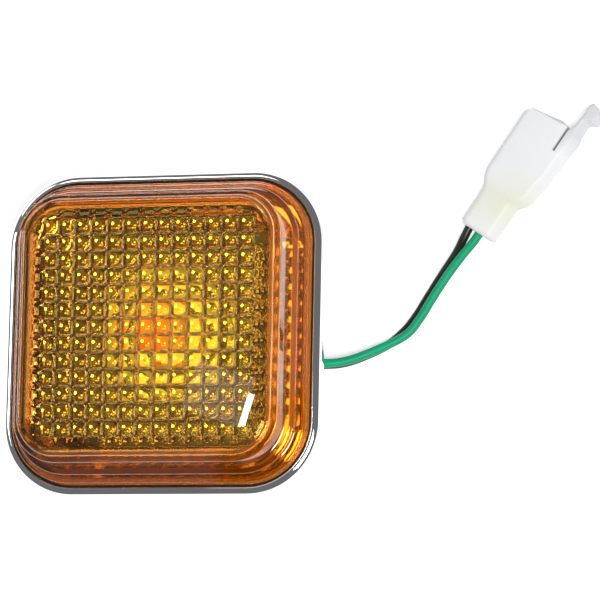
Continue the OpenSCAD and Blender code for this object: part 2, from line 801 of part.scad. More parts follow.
// Terminal: crimp on the wire, box with a lance that rests on the cavity's wall, and a flat pin.
module plug_terminal(y) color("goldenrod") place_plug() {
    box_w = cavity_w - 0.3;
    box_x = cavity_x + 0.4;
    box_l = mouth_x - box_x - 0.6;
    pin_w = 1.9;
    tip = 0.6;
    translate([wire_stop_x, y, plug_mid_z])
        rotate([0, 90, 0])
            cylinder(d = wire_d, h = box_x - wire_stop_x + seat);
    translate([box_x, y - box_w / 2, plug_mid_z - box_w / 2])
        cube([box_l, box_w, box_w]);
    translate([box_x + box_l - seat, y, plug_mid_z - pin_t / 2])
        linear_extrude(pin_t)
            polygon([[0, -pin_w / 2], [pin_l - tip, -pin_w / 2], [pin_l, -pin_w / 4],
                     [pin_l, pin_w / 4], [pin_l - tip, pin_w / 2], [0, pin_w / 2]]);
}

module plug_terminal_green() plug_terminal(green_y);
module plug_terminal_black() plug_terminal(black_y);

housing();
lens();
lens_seal();
panel_gasket();
screw_insert_top();
screw_insert_bottom();
bulb_holder();
holder_seal();
holder_contact_left();
holder_contact_right();
bulb_glass();
bulb_filament();
bulb_lead_left();
bulb_lead_right();
wire_grommet();
green_wire();
black_wire();
plug_housing();
plug_terminal_green();
plug_terminal_black();
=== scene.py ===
"""Looks of the amber side repeater lamp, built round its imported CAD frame."""

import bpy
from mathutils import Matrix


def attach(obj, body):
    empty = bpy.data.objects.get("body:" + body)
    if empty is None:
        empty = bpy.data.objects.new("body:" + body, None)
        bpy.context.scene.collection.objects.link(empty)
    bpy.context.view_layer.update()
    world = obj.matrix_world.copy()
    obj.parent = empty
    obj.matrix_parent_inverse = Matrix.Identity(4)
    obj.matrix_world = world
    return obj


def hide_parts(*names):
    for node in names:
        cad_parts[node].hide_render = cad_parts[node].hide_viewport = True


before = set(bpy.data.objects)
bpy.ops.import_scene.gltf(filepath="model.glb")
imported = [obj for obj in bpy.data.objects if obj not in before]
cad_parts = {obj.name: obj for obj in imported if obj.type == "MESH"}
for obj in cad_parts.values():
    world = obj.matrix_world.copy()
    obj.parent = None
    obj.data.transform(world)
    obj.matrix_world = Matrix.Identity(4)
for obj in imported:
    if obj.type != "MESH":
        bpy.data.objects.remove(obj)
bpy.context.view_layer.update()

import logging
import math
from dataclasses import dataclass, field
from enum import Enum, IntEnum

import bmesh
import bpy
import numpy as np
from mathutils import Matrix, Vector

Pair = tuple[float, float]
Triple = tuple[float, float, float]
Stations = tuple[Pair, ...]

MM = 0.001
BODY = "root"
LOG = logging.getLogger("side_repeater")

# Sockets of the colour mix node by number, because its other data types share their names.
MIX_SHARE, MIX_FIRST, MIX_SECOND = 0, 6, 7
MIX_RESULT = 2


class Shading(Enum):
    """Angle in degrees between two faces past which their edge stays sharp."""

    CREASED = 38.0
    CRISP = 24.0


class LensPart(IntEnum):
    """Parts of the lens by the number of their material."""

    FACE = 0
    PRISMS = 1
    INSIDE = 2
    GROOVES = 3
    WALL = 4
    FOOT = 5


def arc(inset: float, z: float, r: float, start: float, end: float, n: int) -> np.ndarray:
    """Points of an arc in a section: inset minus r cos a, height plus r sin a.

    Args:
        inset, z: The arc's centre.
        r: Its radius.
        start, end: Values of a at its ends, in degrees.
        n: Steps between them.

    Returns:
        Rows of (inset, height).
    """
    a = np.radians(np.linspace(start, end, n + 1))
    return np.stack([inset - r * np.cos(a), z + r * np.sin(a)], axis=-1)


def look_up(x: np.ndarray, stations: Stations) -> np.ndarray:
    """Reads a table at each x, with straight lines between its rows.

    Args:
        x: Places to read.
        stations: Rows of (place, value).

    Returns:
        One value for each place.
    """
    places, values = zip(*stations)
    return np.interp(x, places, values)


def ramp(x: np.ndarray, start: float, run: float) -> np.ndarray:
    """A share that grows evenly from 0 at the start to 1 a run further on."""
    return np.clip((x - start) / run, 0, 1)


@dataclass
class MeshBuilder:
    """Collects vertices in millimetres and faces, then makes one mesh object of them."""

    verts: list[np.ndarray] = field(default_factory=list)
    faces: list[list[int]] = field(default_factory=list)
    holed: list[list[np.ndarray]] = field(default_factory=list)
    count: int = 0

    def add(self, points: np.ndarray) -> int:
        """Adds points of shape (n, 3).

        Args:
            points: The points, or a grid of them.

        Returns:
            The number of the first.
        """
        first = self.count
        self.verts.append(np.asarray(points, float).reshape(-1, 3))
        self.count += len(self.verts[-1])
        return first

    def grid(self, points: np.ndarray, wrap_u: bool = False, wrap_v: bool = False) -> np.ndarray:
        """Adds a surface given as points on a grid of two parameters.

        Args:
            points: Array of shape (u, v, 3).
            wrap_u: Joins the last row to the first.
            wrap_v: Joins the last column to the first.

        Returns:
            The vertex numbers, of shape (u, v).
        """
        nu, nv = points.shape[:2]
        ids = self.add(points) + np.arange(nu * nv).reshape(nu, nv)
        rows = np.vstack([ids, ids[:1]]) if wrap_u else ids
        cells = np.hstack([rows, rows[:, :1]]) if wrap_v else rows
        quads = np.stack([cells[:-1, :-1], cells[1:, :-1], cells[1:, 1:], cells[:-1, 1:]], axis=-1)
        self.faces.extend(quads.reshape(-1, 4).tolist())
        return ids

    def bridge(self, one: np.ndarray, two: np.ndarray) -> None:
        """Joins two closed loops of as many vertices by quads."""
        a, b = np.append(one, one[:1]), np.append(two, two[:1])
        self.faces.extend(np.stack([a[:-1], b[:-1], b[1:], a[1:]], axis=-1).tolist())

    def cap(self, loop: np.ndarray) -> None:
        """Closes a loop of vertices with one flat face."""
        self.faces.append([int(i) for i in loop])

    def cap_round_holes(self, rim: np.ndarray, holes: list[np.ndarray]) -> None:
        """Closes a loop of vertices with flat triangles that leave some inner loops open."""
        self.holed.append([rim, *holes])

    def revolve(self, profile: np.ndarray, centre: Pair, turns: int = 48,
                closed: bool = False) -> None:
        """Turns a profile of (radius, height) rows about an upright axis.

        A point is the centre plus radius times (cos t, sin t), at its height.

        Args:
            profile: Array of shape (n, 2).
            centre: X and Y of the axis.
            turns: Steps round the axis.
            closed: The profile's end joins its start, else both ends close at the axis.
        """
        profile = np.asarray(profile, float)
        t = np.linspace(0, 2 * np.pi, turns, endpoint=False)
        r, z = profile[:, 0][:, None], profile[:, 1][:, None]
        x, y = centre[0] + r * np.cos(t), centre[1] + r * np.sin(t)
        ids = self.grid(np.stack(np.broadcast_arrays(x, y, z), axis=-1), wrap_u=closed,
                        wrap_v=True)
        if not closed:
            self.cap(ids[0][::-1])
            self.cap(ids[-1])

    def box(self, low: Triple, high: Triple) -> None:
        """Adds a closed block: its eight corners are the low one plus 0 or 1 times the size.

        Args:
            low, high: Two opposite corners.
        """
        lo, hi = np.array(low, float), np.array(high, float)
        square = ((0, 0), (1, 0), (1, 1), (0, 1))
        corner = np.array([[x, y, z] for z in (0, 1) for x, y in square])
        first = self.add(lo + corner * (hi - lo))
        for ring in ((3, 2, 1, 0), (4, 5, 6, 7), (0, 1, 5, 4), (1, 2, 6, 5), (2, 3, 7, 6),
                     (3, 0, 4, 7)):
            self.faces.append([first + i for i in ring])

    def build(self, name: str, shading: Shading = Shading.CREASED,
              outward: bool = True) -> bpy.types.Object:
        """Makes the object, in metres, at the origin.

        Args:
            name: Name of the piece.
            shading: Which edges stay sharp.
            outward: Fills the caps round holes and turns every face outwards.

        Returns:
            The new object, linked to the scene.
        """
        mesh = bpy.data.meshes.new(name)
        mesh.from_pydata((np.vstack(self.verts) * MM).tolist(), [], self.faces)
        if outward:
            self._turn_outwards(mesh)
        mesh.polygons.foreach_set("use_smooth", np.ones(len(mesh.polygons), dtype=bool))
        mesh.set_sharp_from_angle(angle=math.radians(shading.value))
        mesh.update()
        piece = bpy.data.objects.new(name, mesh)
        bpy.context.scene.collection.objects.link(piece)
        return piece

    def _turn_outwards(self, mesh: bpy.types.Mesh) -> None:
        """Fills the caps round holes, then turns every face of a mesh outwards.

        Args:
            mesh: The mesh, changed in place.
        """
        work = bmesh.new()
        work.from_mesh(mesh)
        work.verts.ensure_lookup_table()
        for loops in self.holed:
            edges = [work.edges.get((work.verts[int(i)], work.verts[int(j)]))
                     for loop in loops for i, j in zip(loop, np.roll(loop, -1))]
            bmesh.ops.triangle_fill(work, use_beauty=True, edges=edges)
        bmesh.ops.recalc_face_normals(work, faces=work.faces)
        work.to_mesh(mesh)
        work.free()


@dataclass(frozen=True)
class RoundedSquare:
    """The lamp's plan: a square with round corners that all its sections follow."""

    half_x: float = 38.0
    half_y: float = 37.6
    corner_r: float = 17.0
    straight_run: float = 20.8
    corner_run: float = 4.35

    def path(self, stops: np.ndarray) -> tuple[np.ndarray, np.ndarray]:
        """Points of the inner core and outward directions, once round.

        Each side runs from -1 to 1. Up to the corner's centre a point moves straight, past it
        the direction turns by up to 45 degrees about that centre.

        Args:
            stops: Places along a side, in -1 to 1, the last left out.

        Returns:
            Core points and directions, each of shape (4 n, 2).
        """
        cores, outs = [], []
        for quarter in range(4):
            sides = (self.half_y, self.half_x)
            along, across = sides[::-1] if quarter % 2 else sides
            reach, depth = along - self.corner_r, across - self.corner_r
            s = stops * (reach + self.corner_run)
            past = np.clip(np.abs(s) - reach, 0, None)
            turn = np.radians(45) * past / self.corner_run * np.sign(s)
            core = np.stack([np.full_like(s, depth), np.clip(s, -reach, reach)], axis=-1)
            out = np.stack([np.cos(turn), np.sin(turn)], axis=-1)
            a = np.radians(90 * quarter)
            spin = np.array([[np.cos(a), np.sin(a)], [-np.sin(a), np.cos(a)]])
            cores.append(core @ spin)
            outs.append(out @ spin)
        return np.vstack(cores), np.vstack(outs)

    def even_stops(self, straight: int = 8, corner: int = 12) -> np.ndarray:
        """Stops with few points on the straights and close ones in the corners.

        Args:
            straight: Steps on a straight.
            corner: Steps in each half corner.

        Returns:
            Places along a side, in -1 to 1, the last left out.
        """
        share = self.straight_run / (self.straight_run + self.corner_run)
        return np.concatenate([
            np.linspace(-1, -share, corner, endpoint=False),
            np.linspace(-share, share, straight, endpoint=False),
            np.linspace(share, 1, corner, endpoint=False)])

    def sweep(self, section: np.ndarray, stops: np.ndarray) -> np.ndarray:
        """Carries a section round the plan.

        A point is the core point plus (corner radius - inset) times the outward direction.

        Args:
            section: Rows of (inset, height).
            stops: Places along a side.

        Returns:
            Points of shape (section, path, 3).
        """
        core, out = self.path(stops)
        reach = (self.corner_r - section[:, 0])[:, None, None]
        flat = core[None] + reach * out[None]
        z = np.broadcast_to(section[:, 1][:, None, None], flat.shape[:2] + (1,))
        return np.concatenate([flat, z], axis=-1)


@dataclass(frozen=True)
class Finish:
    """One procedural material: two base colours mixed by noise, with roughness and bump.

    stain, shade and glow are colours that the mesh attributes of
    those names bring in. The first two go in the base colour: on the lens the first paints shade in,
    on the plug it is the greenish tint of the wires that show through, and shade paints shade in.
    glow paints a yellow tint into the reflections. lets_lamps is the colour of the
    lamps' light let through, and mirror the share of plain reflection, of the colour mirror_tint.
    Lengths are in metres, and scales in waves to the metre.
    """

    name: str
    slot: str
    colour: Triple
    second: Triple
    scale: float
    roughness: Pair
    metallic: float = 0.0
    transmission: float = 0.0
    ior: float = 1.5
    specular: float = 0.5
    subsurface: float = 0.0
    subsurface_depth: float = 0.002
    subsurface_spread: Triple = (1.0, 0.9, 0.75)
    detail: float = 4.0
    noise_range: Pair = (0.3, 0.7)
    bump: float = 0.1
    bump_scale: float = 900.0
    bump_detail: float = 3.0
    bump_depth: float = 0.00002
    lets_lamps: Triple | None = None
    mirror: float = 0.0
    mirror_tint: Triple | None = None
    mirror_roughness: float = 0.05
    stain: Triple | None = None
    shade: Triple | None = None
    glow: Triple | None = None

    def material(self) -> bpy.types.Material:
        """Finds the finish's material, or builds its nodes the first time.

        Returns:
            The material.
        """
        name = "finish_" + self.name
        made = bpy.data.materials.get(name)
        if made:
            return made
        made = bpy.data.materials.new(name)
        made.use_nodes = True
        tree = made.node_tree
        shader = tree.nodes["Principled BSDF"]
        coords = tree.nodes.new("ShaderNodeTexCoord")
        noise = self._noise(tree, coords, self.scale, self.detail)
        tree.links.new(self._base(tree, noise), shader.inputs["Base Color"])
        spread = tree.nodes.new("ShaderNodeMapRange")
        ends = ("From Min", "From Max", "To Min", "To Max")
        self._set(spread, dict(zip(ends, (*self.noise_range, *self.roughness))))
        tree.links.new(noise.outputs["Fac"], spread.inputs["Value"])
        tree.links.new(spread.outputs["Result"], shader.inputs["Roughness"])
        if self.bump > 0:
            grain = self._noise(tree, coords, self.bump_scale, self.bump_detail)
            bump = tree.nodes.new("ShaderNodeBump")
            self._set(bump, {"Strength": self.bump, "Distance": self.bump_depth})
            tree.links.new(grain.outputs["Fac"], bump.inputs["Height"])
            tree.links.new(bump.outputs["Normal"], shader.inputs["Normal"])
        self._set(shader, {
            "Metallic": self.metallic, "Transmission Weight": self.transmission, "IOR": self.ior,
            "Specular IOR Level": self.specular, "Subsurface Weight": self.subsurface,
            "Subsurface Scale": self.subsurface_depth,
            "Subsurface Radius": self.subsurface_spread})
        if self.mirror > 0:
            self._add_mirror(tree, shader)
        if self.lets_lamps is not None:
            self._let_lamps_through(tree)
        return made

    @staticmethod
    def _set(node: bpy.types.Node, values: dict[str, float | tuple[float, ...]]) -> None:
        """Sets a node's inputs by name."""
        for socket, value in values.items():
            node.inputs[socket].default_value = value

    def _base(self, tree: bpy.types.NodeTree, noise: bpy.types.Node) -> bpy.types.NodeSocket:
        """Mixes the two base colours by the noise, then goes over to the marks' colours.

        These paint shade in, save the plug neck's tint, which is the wires showing through.

        Args:
            tree: The material's nodes.
            noise: The noise that mixes.

        Returns:
            The socket that gives the colour.
        """
        mix = tree.nodes.new("ShaderNodeMix")
        mix.data_type = "RGBA"
        mix.inputs[MIX_FIRST].default_value = (*self.colour, 1)
        mix.inputs[MIX_SECOND].default_value = (*self.second, 1)
        tree.links.new(noise.outputs["Fac"], mix.inputs[MIX_SHARE])
        base = mix.outputs[MIX_RESULT]
        for mark, colour in (("stain", self.stain), ("shade", self.shade)):
            if colour is not None:
                blend = self._marked(tree, mark, colour)
                tree.links.new(base, blend.inputs[MIX_FIRST])
                base = blend.outputs[MIX_RESULT]
        return base

    def _add_mirror(self, tree: bpy.types.NodeTree, shader: bpy.types.Node) -> None:
        """Adds a share of plain reflection, and paints a yellow tint into it and the shader's own
        highlights by the glow mark.

        Args:
            tree: The material's nodes.
            shader: The main shader.
        """
        plate = tree.nodes.new("ShaderNodeBsdfGlossy")
        tint = (*(self.mirror_tint or self.colour), 1)
        self._set(plate, {"Color": tint, "Roughness": self.mirror_roughness})
        if self.glow is not None:
            for plain, socket in ((tint, plate.inputs["Color"]),
                                  ((1, 1, 1, 1), shader.inputs["Specular Tint"])):
                blend = self._marked(tree, "glow", self.glow)
                blend.inputs[MIX_FIRST].default_value = plain
                tree.links.new(blend.outputs[MIX_RESULT], socket)
        both = tree.nodes.new("ShaderNodeMixShader")
        both.inputs[0].default_value = self.mirror
        tree.links.new(shader.outputs[0], both.inputs[1])
        tree.links.new(plate.outputs[0], both.inputs[2])
        tree.links.new(both.outputs[0], tree.nodes["Material Output"].inputs["Surface"])

    def _let_lamps_through(self, tree: bpy.types.NodeTree) -> None:
        """Makes the surface clear, in its own tint, for the rays that look for lamps.

        Args:
            tree: The material's nodes.
        """
        surface = tree.nodes["Material Output"].inputs["Surface"]
        clear = tree.nodes.new("ShaderNodeBsdfTransparent")
        self._set(clear, {"Color": (*self.lets_lamps, 1)})
        ray = tree.nodes.new("ShaderNodeLightPath")
        pick = tree.nodes.new("ShaderNodeMixShader")
        tree.links.new(ray.outputs["Is Shadow Ray"], pick.inputs[0])
        tree.links.new(surface.links[0].from_socket, pick.inputs[1])
        tree.links.new(clear.outputs[0], pick.inputs[2])
        tree.links.new(pick.outputs[0], surface)

    @staticmethod
    def _marked(tree: bpy.types.NodeTree, mark: str, colour: Triple) -> bpy.types.Node:
        """Adds a mix that goes over to a colour by the share that a mesh attribute holds.

        Args:
            tree: The material's nodes.
            mark: The attribute's name.
            colour: The colour where the share is 1.

        Returns:
            The mix node, its first colour still open.
        """
        share = tree.nodes.new("ShaderNodeAttribute")
        share.attribute_name = mark
        blend = tree.nodes.new("ShaderNodeMix")
        blend.data_type = "RGBA"
        blend.inputs[MIX_SECOND].default_value = (*colour, 1)
        tree.links.new(share.outputs["Fac"], blend.inputs[MIX_SHARE])
        return blend

    @staticmethod
    def _noise(tree: bpy.types.NodeTree, coords: bpy.types.Node, scale: float,
               detail: float) -> bpy.types.Node:
        """Adds a noise texture on Object coordinates.

        Args:
            tree: The material's nodes.
            coords: The coordinates' node.
            scale: Waves to the metre.
            detail: Number of finer layers.

        Returns:
            The noise node.
        """
        noise = tree.nodes.new("ShaderNodeTexNoise")
        Finish._set(noise, {"Scale": scale, "Detail": detail})
        tree.links.new(coords.outputs["Object"], noise.inputs["Vector"])
        return noise

    def dress(self, piece: bpy.types.Object) -> bpy.types.Object:
        """Gives a new piece this finish and its body.

        Args:
            piece: The mesh or curve object.

        Returns:
            The same object.
        """
        piece.data.materials.clear()
        piece.data.materials.append(self.material())
        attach(piece, BODY)
        return piece

    def dress_node(self, node: str) -> None:
        """Puts this finish on a CAD node's material slots.

        Args:
            node: The node's name.
        """
        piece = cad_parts[node]
        if not piece.material_slots:
            piece.data.materials.append(self.material())
        for held in piece.material_slots:
            held.material = self.material()
        LOG.info("%s: %s", node, self.name)

    @staticmethod
    def mark(piece: bpy.types.Object, name: str, amount: np.ndarray) -> None:
        """Writes a share at each vertex.

        Args:
            piece: The mesh object.
            name: Attribute that the finish reads: stain, shade (painted shade) or
                glow.
            amount: One share from 0 to 1 for each vertex.
        """
        layer = piece.data.attributes.new(name, "FLOAT", "POINT")
        layer.data.foreach_set("value", np.clip(amount, 0, 1).astype(np.float32))

    @staticmethod
    def places(piece: bpy.types.Object) -> np.ndarray:
        """Vertex places of a piece in millimetres.

        Args:
            piece: The mesh object.

        Returns:
            One row of X, Y and Z for each vertex.
        """
        flat = np.empty(len(piece.data.vertices) * 3)
        piece.data.vertices.foreach_get("co", flat)
        return flat.reshape(-1, 3) / MM


def amber(name: str, colour: Triple, second: Triple, roughness: Pair, transmission: float = 1.0,
          scale: float = 40, **more: float | Triple) -> Finish:
    """A finish of the lens's clear acrylic, that lets the lamps' light in.

    Args:
        name: What it covers.
        colour, second: The two base colours.
        roughness: Its range.
        transmission: Share of light that goes through.
        scale: Scale of the noise.
        more: Other fields of the finish.

    Returns:
        The finish.
    """
    return Finish("amber_" + name, "amber_lens", colour, second, scale, roughness, bump=0.0,
                  transmission=transmission, ior=1.49, lets_lamps=(1.0, 0.98, 0.38), **more)


class Finishes:
    """The lamp's finishes."""

    PLATED = Finish("plated_plastic", "plated_plastic", (0.84, 0.85, 0.87), (0.80, 0.80, 0.82),
                    60, (0.0, 0.02), metallic=1.0, bump=0.05, bump_scale=120)
    LENS = {
        # On the face, skirt and wall the marks' darker colours are painted shade at the left and
        # bottom; on the wall the mark's colour for the reflections paints a yellow tint into the
        # highlights at the lower right.
        LensPart.FACE: amber("lens", (1.0, 0.75, 0.20), (1.0, 0.73, 0.18), (0.0, 0.0),
                             stain=(0.30, 0.16, 0.04)),
        LensPart.PRISMS: amber("prisms", (1.0, 0.82, 0.16), (1.0, 0.80, 0.14), (0.0, 0.0),
                               mirror=0.33),
        LensPart.INSIDE: amber("skirt", (1.0, 0.34, 0.05), (0.9, 0.30, 0.04), (0.05, 0.1), 0.91,
                               stain=(0.22, 0.07, 0.012)),
        # The grooves' dark brown is painted shade; they are of the same amber as the rest of the lens.
        LensPart.GROOVES: amber("grooves", (0.17, 0.075, 0.05), (0.12, 0.055, 0.04), (0.1, 0.3),
                                0.85, scale=500),
        LensPart.WALL: amber("wall", (1.0, 0.50, 0.12), (1.0, 0.46, 0.10), (0.02, 0.05),
                             mirror=0.09, mirror_tint=(1.0, 0.86, 0.80),
                             stain=(0.32, 0.12, 0.025), glow=(1.0, 0.30, 0.015)),
        LensPart.FOOT: amber("edge", (1.0, 0.42, 0.09), (1.0, 0.38, 0.08), (0.05, 0.1), 0.7)}
    RUBBER = Finish("black_rubber", "black_rubber", (0.025, 0.025, 0.026), (0.04, 0.04, 0.04),
                    400, (0.45, 0.65), bump=0.25, bump_scale=1500)
    SEAL = Finish("black_seal", "black_rubber", (0.004, 0.004, 0.004), (0.007, 0.007, 0.007),
                  400, (0.5, 0.65), specular=0.12, bump=0.25, bump_scale=1500)
    HOLDER = Finish("holder_plastic", "holder_plastic", (0.93, 0.92, 0.87), (0.90, 0.89, 0.84),
                    150, (0.38, 0.5), bump=0.2, bump_scale=1200, subsurface=0.15)
    BRASS = Finish("brass", "brass", (0.80, 0.60, 0.27), (0.70, 0.50, 0.20), 250, (0.22, 0.38),
                   metallic=1.0)
    BULB = Finish("bulb_glass", "bulb_glass", (1.0, 0.50, 0.12), (1.0, 0.46, 0.10), 60,
                  (0.0, 0.05), transmission=0.55, bump=0.0, lets_lamps=(1.0, 0.6, 0.2))
    NICKEL = Finish("bulb_wire", "bulb_wire", (0.60, 0.59, 0.57), (0.5, 0.49, 0.47), 500,
                    (0.2, 0.35), metallic=1.0)
    TUNGSTEN = Finish("tungsten", "tungsten", (0.28, 0.28, 0.3), (0.2, 0.2, 0.22), 800,
                      (0.4, 0.5), metallic=1.0, bump=0.4, bump_scale=3000)
    GREEN = Finish("green_insulation", "green_insulation", (0.001, 0.225, 0.105),
                   (0.001, 0.25, 0.118), 120, (0.4, 0.5), specular=0.18, bump=0.15,
                   bump_scale=500)
    BLACK = Finish("black_insulation", "black_insulation", (0.006, 0.006, 0.007),
                   (0.01, 0.01, 0.01), 120, (0.3, 0.4), specular=0.25, bump=0.15, bump_scale=500)
    # The plug's darker grey for its latch arm and rear end is painted shade; its greenish colour at the
    # neck is the wires showing through the nylon.
    NYLON = Finish("natural_nylon", "natural_nylon", (0.60, 0.605, 0.615), (0.57, 0.575, 0.585),
                   90, (0.45, 0.55), specular=0.35, bump=0.15, bump_scale=700,
                   stain=(0.54, 0.55, 0.45), shade=(0.47, 0.475, 0.49))


@dataclass
class Housing:
    """Plated moulding: rim bead, tapered body, mirror floor with its dish, bosses and skirt.

    waist is the middle of the waist's arc, as (inset from the skirt, height from taper_z).
    floor_shares places the floor's rows between the hole and the wall, and dish_curve is what
    the square of the dish's radius grows by over a height of 1 mm.
    """

    plan: RoundedSquare = field(default_factory=RoundedSquare)
    bead_w: float = 1.9
    bead_in_r: float = 0.2
    bead_flat: float = 0.2
    neck_r: float = 0.8
    shelf_w: float = 3.5
    shelf_r: float = 0.3
    shelf_z: float = 20.2
    skirt_in: float = 8.7
    skirt_z: float = 2.5
    skirt_bevel: float = 0.2
    waist: Pair = (0.4, -0.5)
    waist_r: float = 0.8
    waist_run: float = 1.2
    wall: float = 1.7
    wall_more: float = 0.1
    taper_z: float = 10.0
    rim_z: float = 24.4
    floor_z: float = 14.0
    floor_t: float = 2.0
    floor_web: float = 0.8
    floor_shares: tuple[float, ...] = (0, 0.05, 0.3, 1.0)
    channel_z: float = 21.4
    channel_end: float = 4.9
    lip_t: float = 1.1
    lip_up: float = 1.6
    lip_run: float = 1.2
    hole_r: float = 10.0
    dish_r: float = 12.2
    dish_h: float = 3.6
    dish_t: float = 0.9
    dish_curve: float = 22.0
    boss_y: float = 22.0
    boss_r: float = 4.2
    boss_low: float = 1.0
    boss_bevel: float = 0.3
    insert_r: float = 2.8
    insert_l: float = 7.0
    runout_r: float = 2.0
    runout_l: float = 8.5
    axis_r: float = 0.02
    rib_up: float = 2.0
    overlap: float = 0.05

    def body_in(self, z: float) -> float:
        """Inset of the tapered wall's outer side, which grows evenly with the height.

        Args:
            z: The height.

        Returns:
            The inset.
        """
        share = (z - self.taper_z) / (self.shelf_z - self.taper_z)
        return self.skirt_in + (self.shelf_w - self.skirt_in) * share

    def section(self) -> np.ndarray:
        """The ring's section: straight lines and arcs once round the moulding.

        Returns:
            Rows of (inset, height).
        """
        in_r, out_r = self.bead_in_r, self.bead_w - self.bead_in_r - self.bead_flat
        under = self.floor_z - self.floor_t - self.floor_web
        lip, lip_in = self.channel_z + self.lip_up, self.channel_end + self.lip_t
        skirt, bevel, neck, shelf = self.skirt_in, self.skirt_bevel, self.neck_r, self.shelf_r
        inner = skirt + self.wall
        waist_in, waist_z = self.waist
        return np.vstack([
            [[self.bead_w, self.channel_z]],
            arc(self.bead_w - in_r, self.rim_z - in_r, in_r, 180, 90, 8),
            arc(out_r, self.rim_z - out_r, out_r, 90, 0, 14),
            arc(neck, self.shelf_z + neck, neck, 0, -90, 8),
            arc(self.shelf_w + shelf, self.shelf_z - shelf, shelf, 90, 35, 3),
            arc(skirt + waist_in, self.taper_z + waist_z, self.waist_r, 40, 10, 4),
            [[skirt, self.taper_z - self.waist_run], [skirt, self.skirt_z + bevel],
             [skirt + bevel, self.skirt_z], [inner, self.skirt_z], [inner, self.taper_z]],
            [[self.body_in(z) + self.wall + self.wall_more, z] for z in (under, self.floor_z)],
            [[lip_in, self.shelf_z - self.lip_run], [lip_in, lip], [self.channel_end, lip],
             [self.channel_end, self.channel_z]]])

    def build(self) -> bpy.types.Object:
        """Makes the moulding and dresses it.

        Returns:
            The piece.
        """
        made = MeshBuilder()
        ring = self.plan.sweep(self.section(), self.plan.even_stops())
        made.grid(ring, wrap_u=True, wrap_v=True)
        self._floor(made)
        self._dish(made)
        for way in (1, -1):
            self._boss(made, way)
        piece = made.build("plated_moulding", Shading.CRISP)
        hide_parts("housing")
        return Finishes.PLATED.dress(piece)

    def _floor(self, made: MeshBuilder) -> None:
        """Mirror floor: shares of the straight lines from the round hole's edge to the wall.

        Args:
            made: Takes the surface.
        """
        core, out = self.plan.path(self.plan.even_stops())
        edge = core + (self.plan.corner_r - self.body_in(self.floor_z) - self.wall / 2) * out
        angle = np.arctan2(edge[:, 1], edge[:, 0])
        hole = self.hole_r * np.stack([np.cos(angle), np.sin(angle)], axis=-1)
        share = np.array(self.floor_shares)[:, None, None]
        flat = hole[None] * (1 - share) + edge[None] * share
        top, under = (np.concatenate([flat, np.full(flat.shape[:2] + (1,), z)], axis=-1)
                      for z in (self.floor_z, self.floor_z - self.floor_t))
        made.grid(np.concatenate([top, under[::-1]]), wrap_u=True, wrap_v=True)

    def _dish(self, made: MeshBuilder) -> None:
        """Dish round the bulb: height grows with the square of the radius, as a parabola's does.

        Args:
            made: Takes the surface.
        """
        outer = math.sqrt(self.dish_r ** 2 + self.dish_curve * self.dish_h)
        r = np.linspace(self.dish_r, outer, 14)
        up = self.floor_z + (r ** 2 - self.dish_r ** 2) / self.dish_curve
        under = np.maximum(up - 2 * self.overlap, self.floor_z - self.overlap)
        back = np.stack([r + self.dish_t, under], axis=-1)[::-1]
        profile = np.vstack([np.stack([r, up], axis=-1), back])
        made.revolve(profile, (0, 0), turns=96, closed=True)

    def _boss(self, made: MeshBuilder, way: int) -> None:
        """Screw boss with the bore for its insert, and the rib that ties it to the skirt.

        Args:
            made: Takes the surfaces.
            way: 1 for the boss at the top, -1 for the other.
        """
        y, low, bevel = way * self.boss_y, self.boss_low, self.boss_bevel
        top = self.floor_z - self.floor_t + self.overlap
        seat, end = low + self.insert_l, low + self.runout_l
        made.revolve(np.array([
            [self.insert_r, low], [self.boss_r - bevel, low], [self.boss_r, low + bevel],
            [self.boss_r, top], [self.axis_r, top], [self.axis_r, end], [self.runout_r, end],
            [self.runout_r, seat], [self.insert_r, seat]]), (0, y), closed=True)
        wall_y = way * (self.plan.half_y - self.skirt_in - self.wall / 2)
        near, far = sorted((y + way * (self.boss_r - bevel), wall_y))
        made.box((-self.wall / 2, near, self.skirt_z + self.rib_up), (self.wall / 2, far, top))


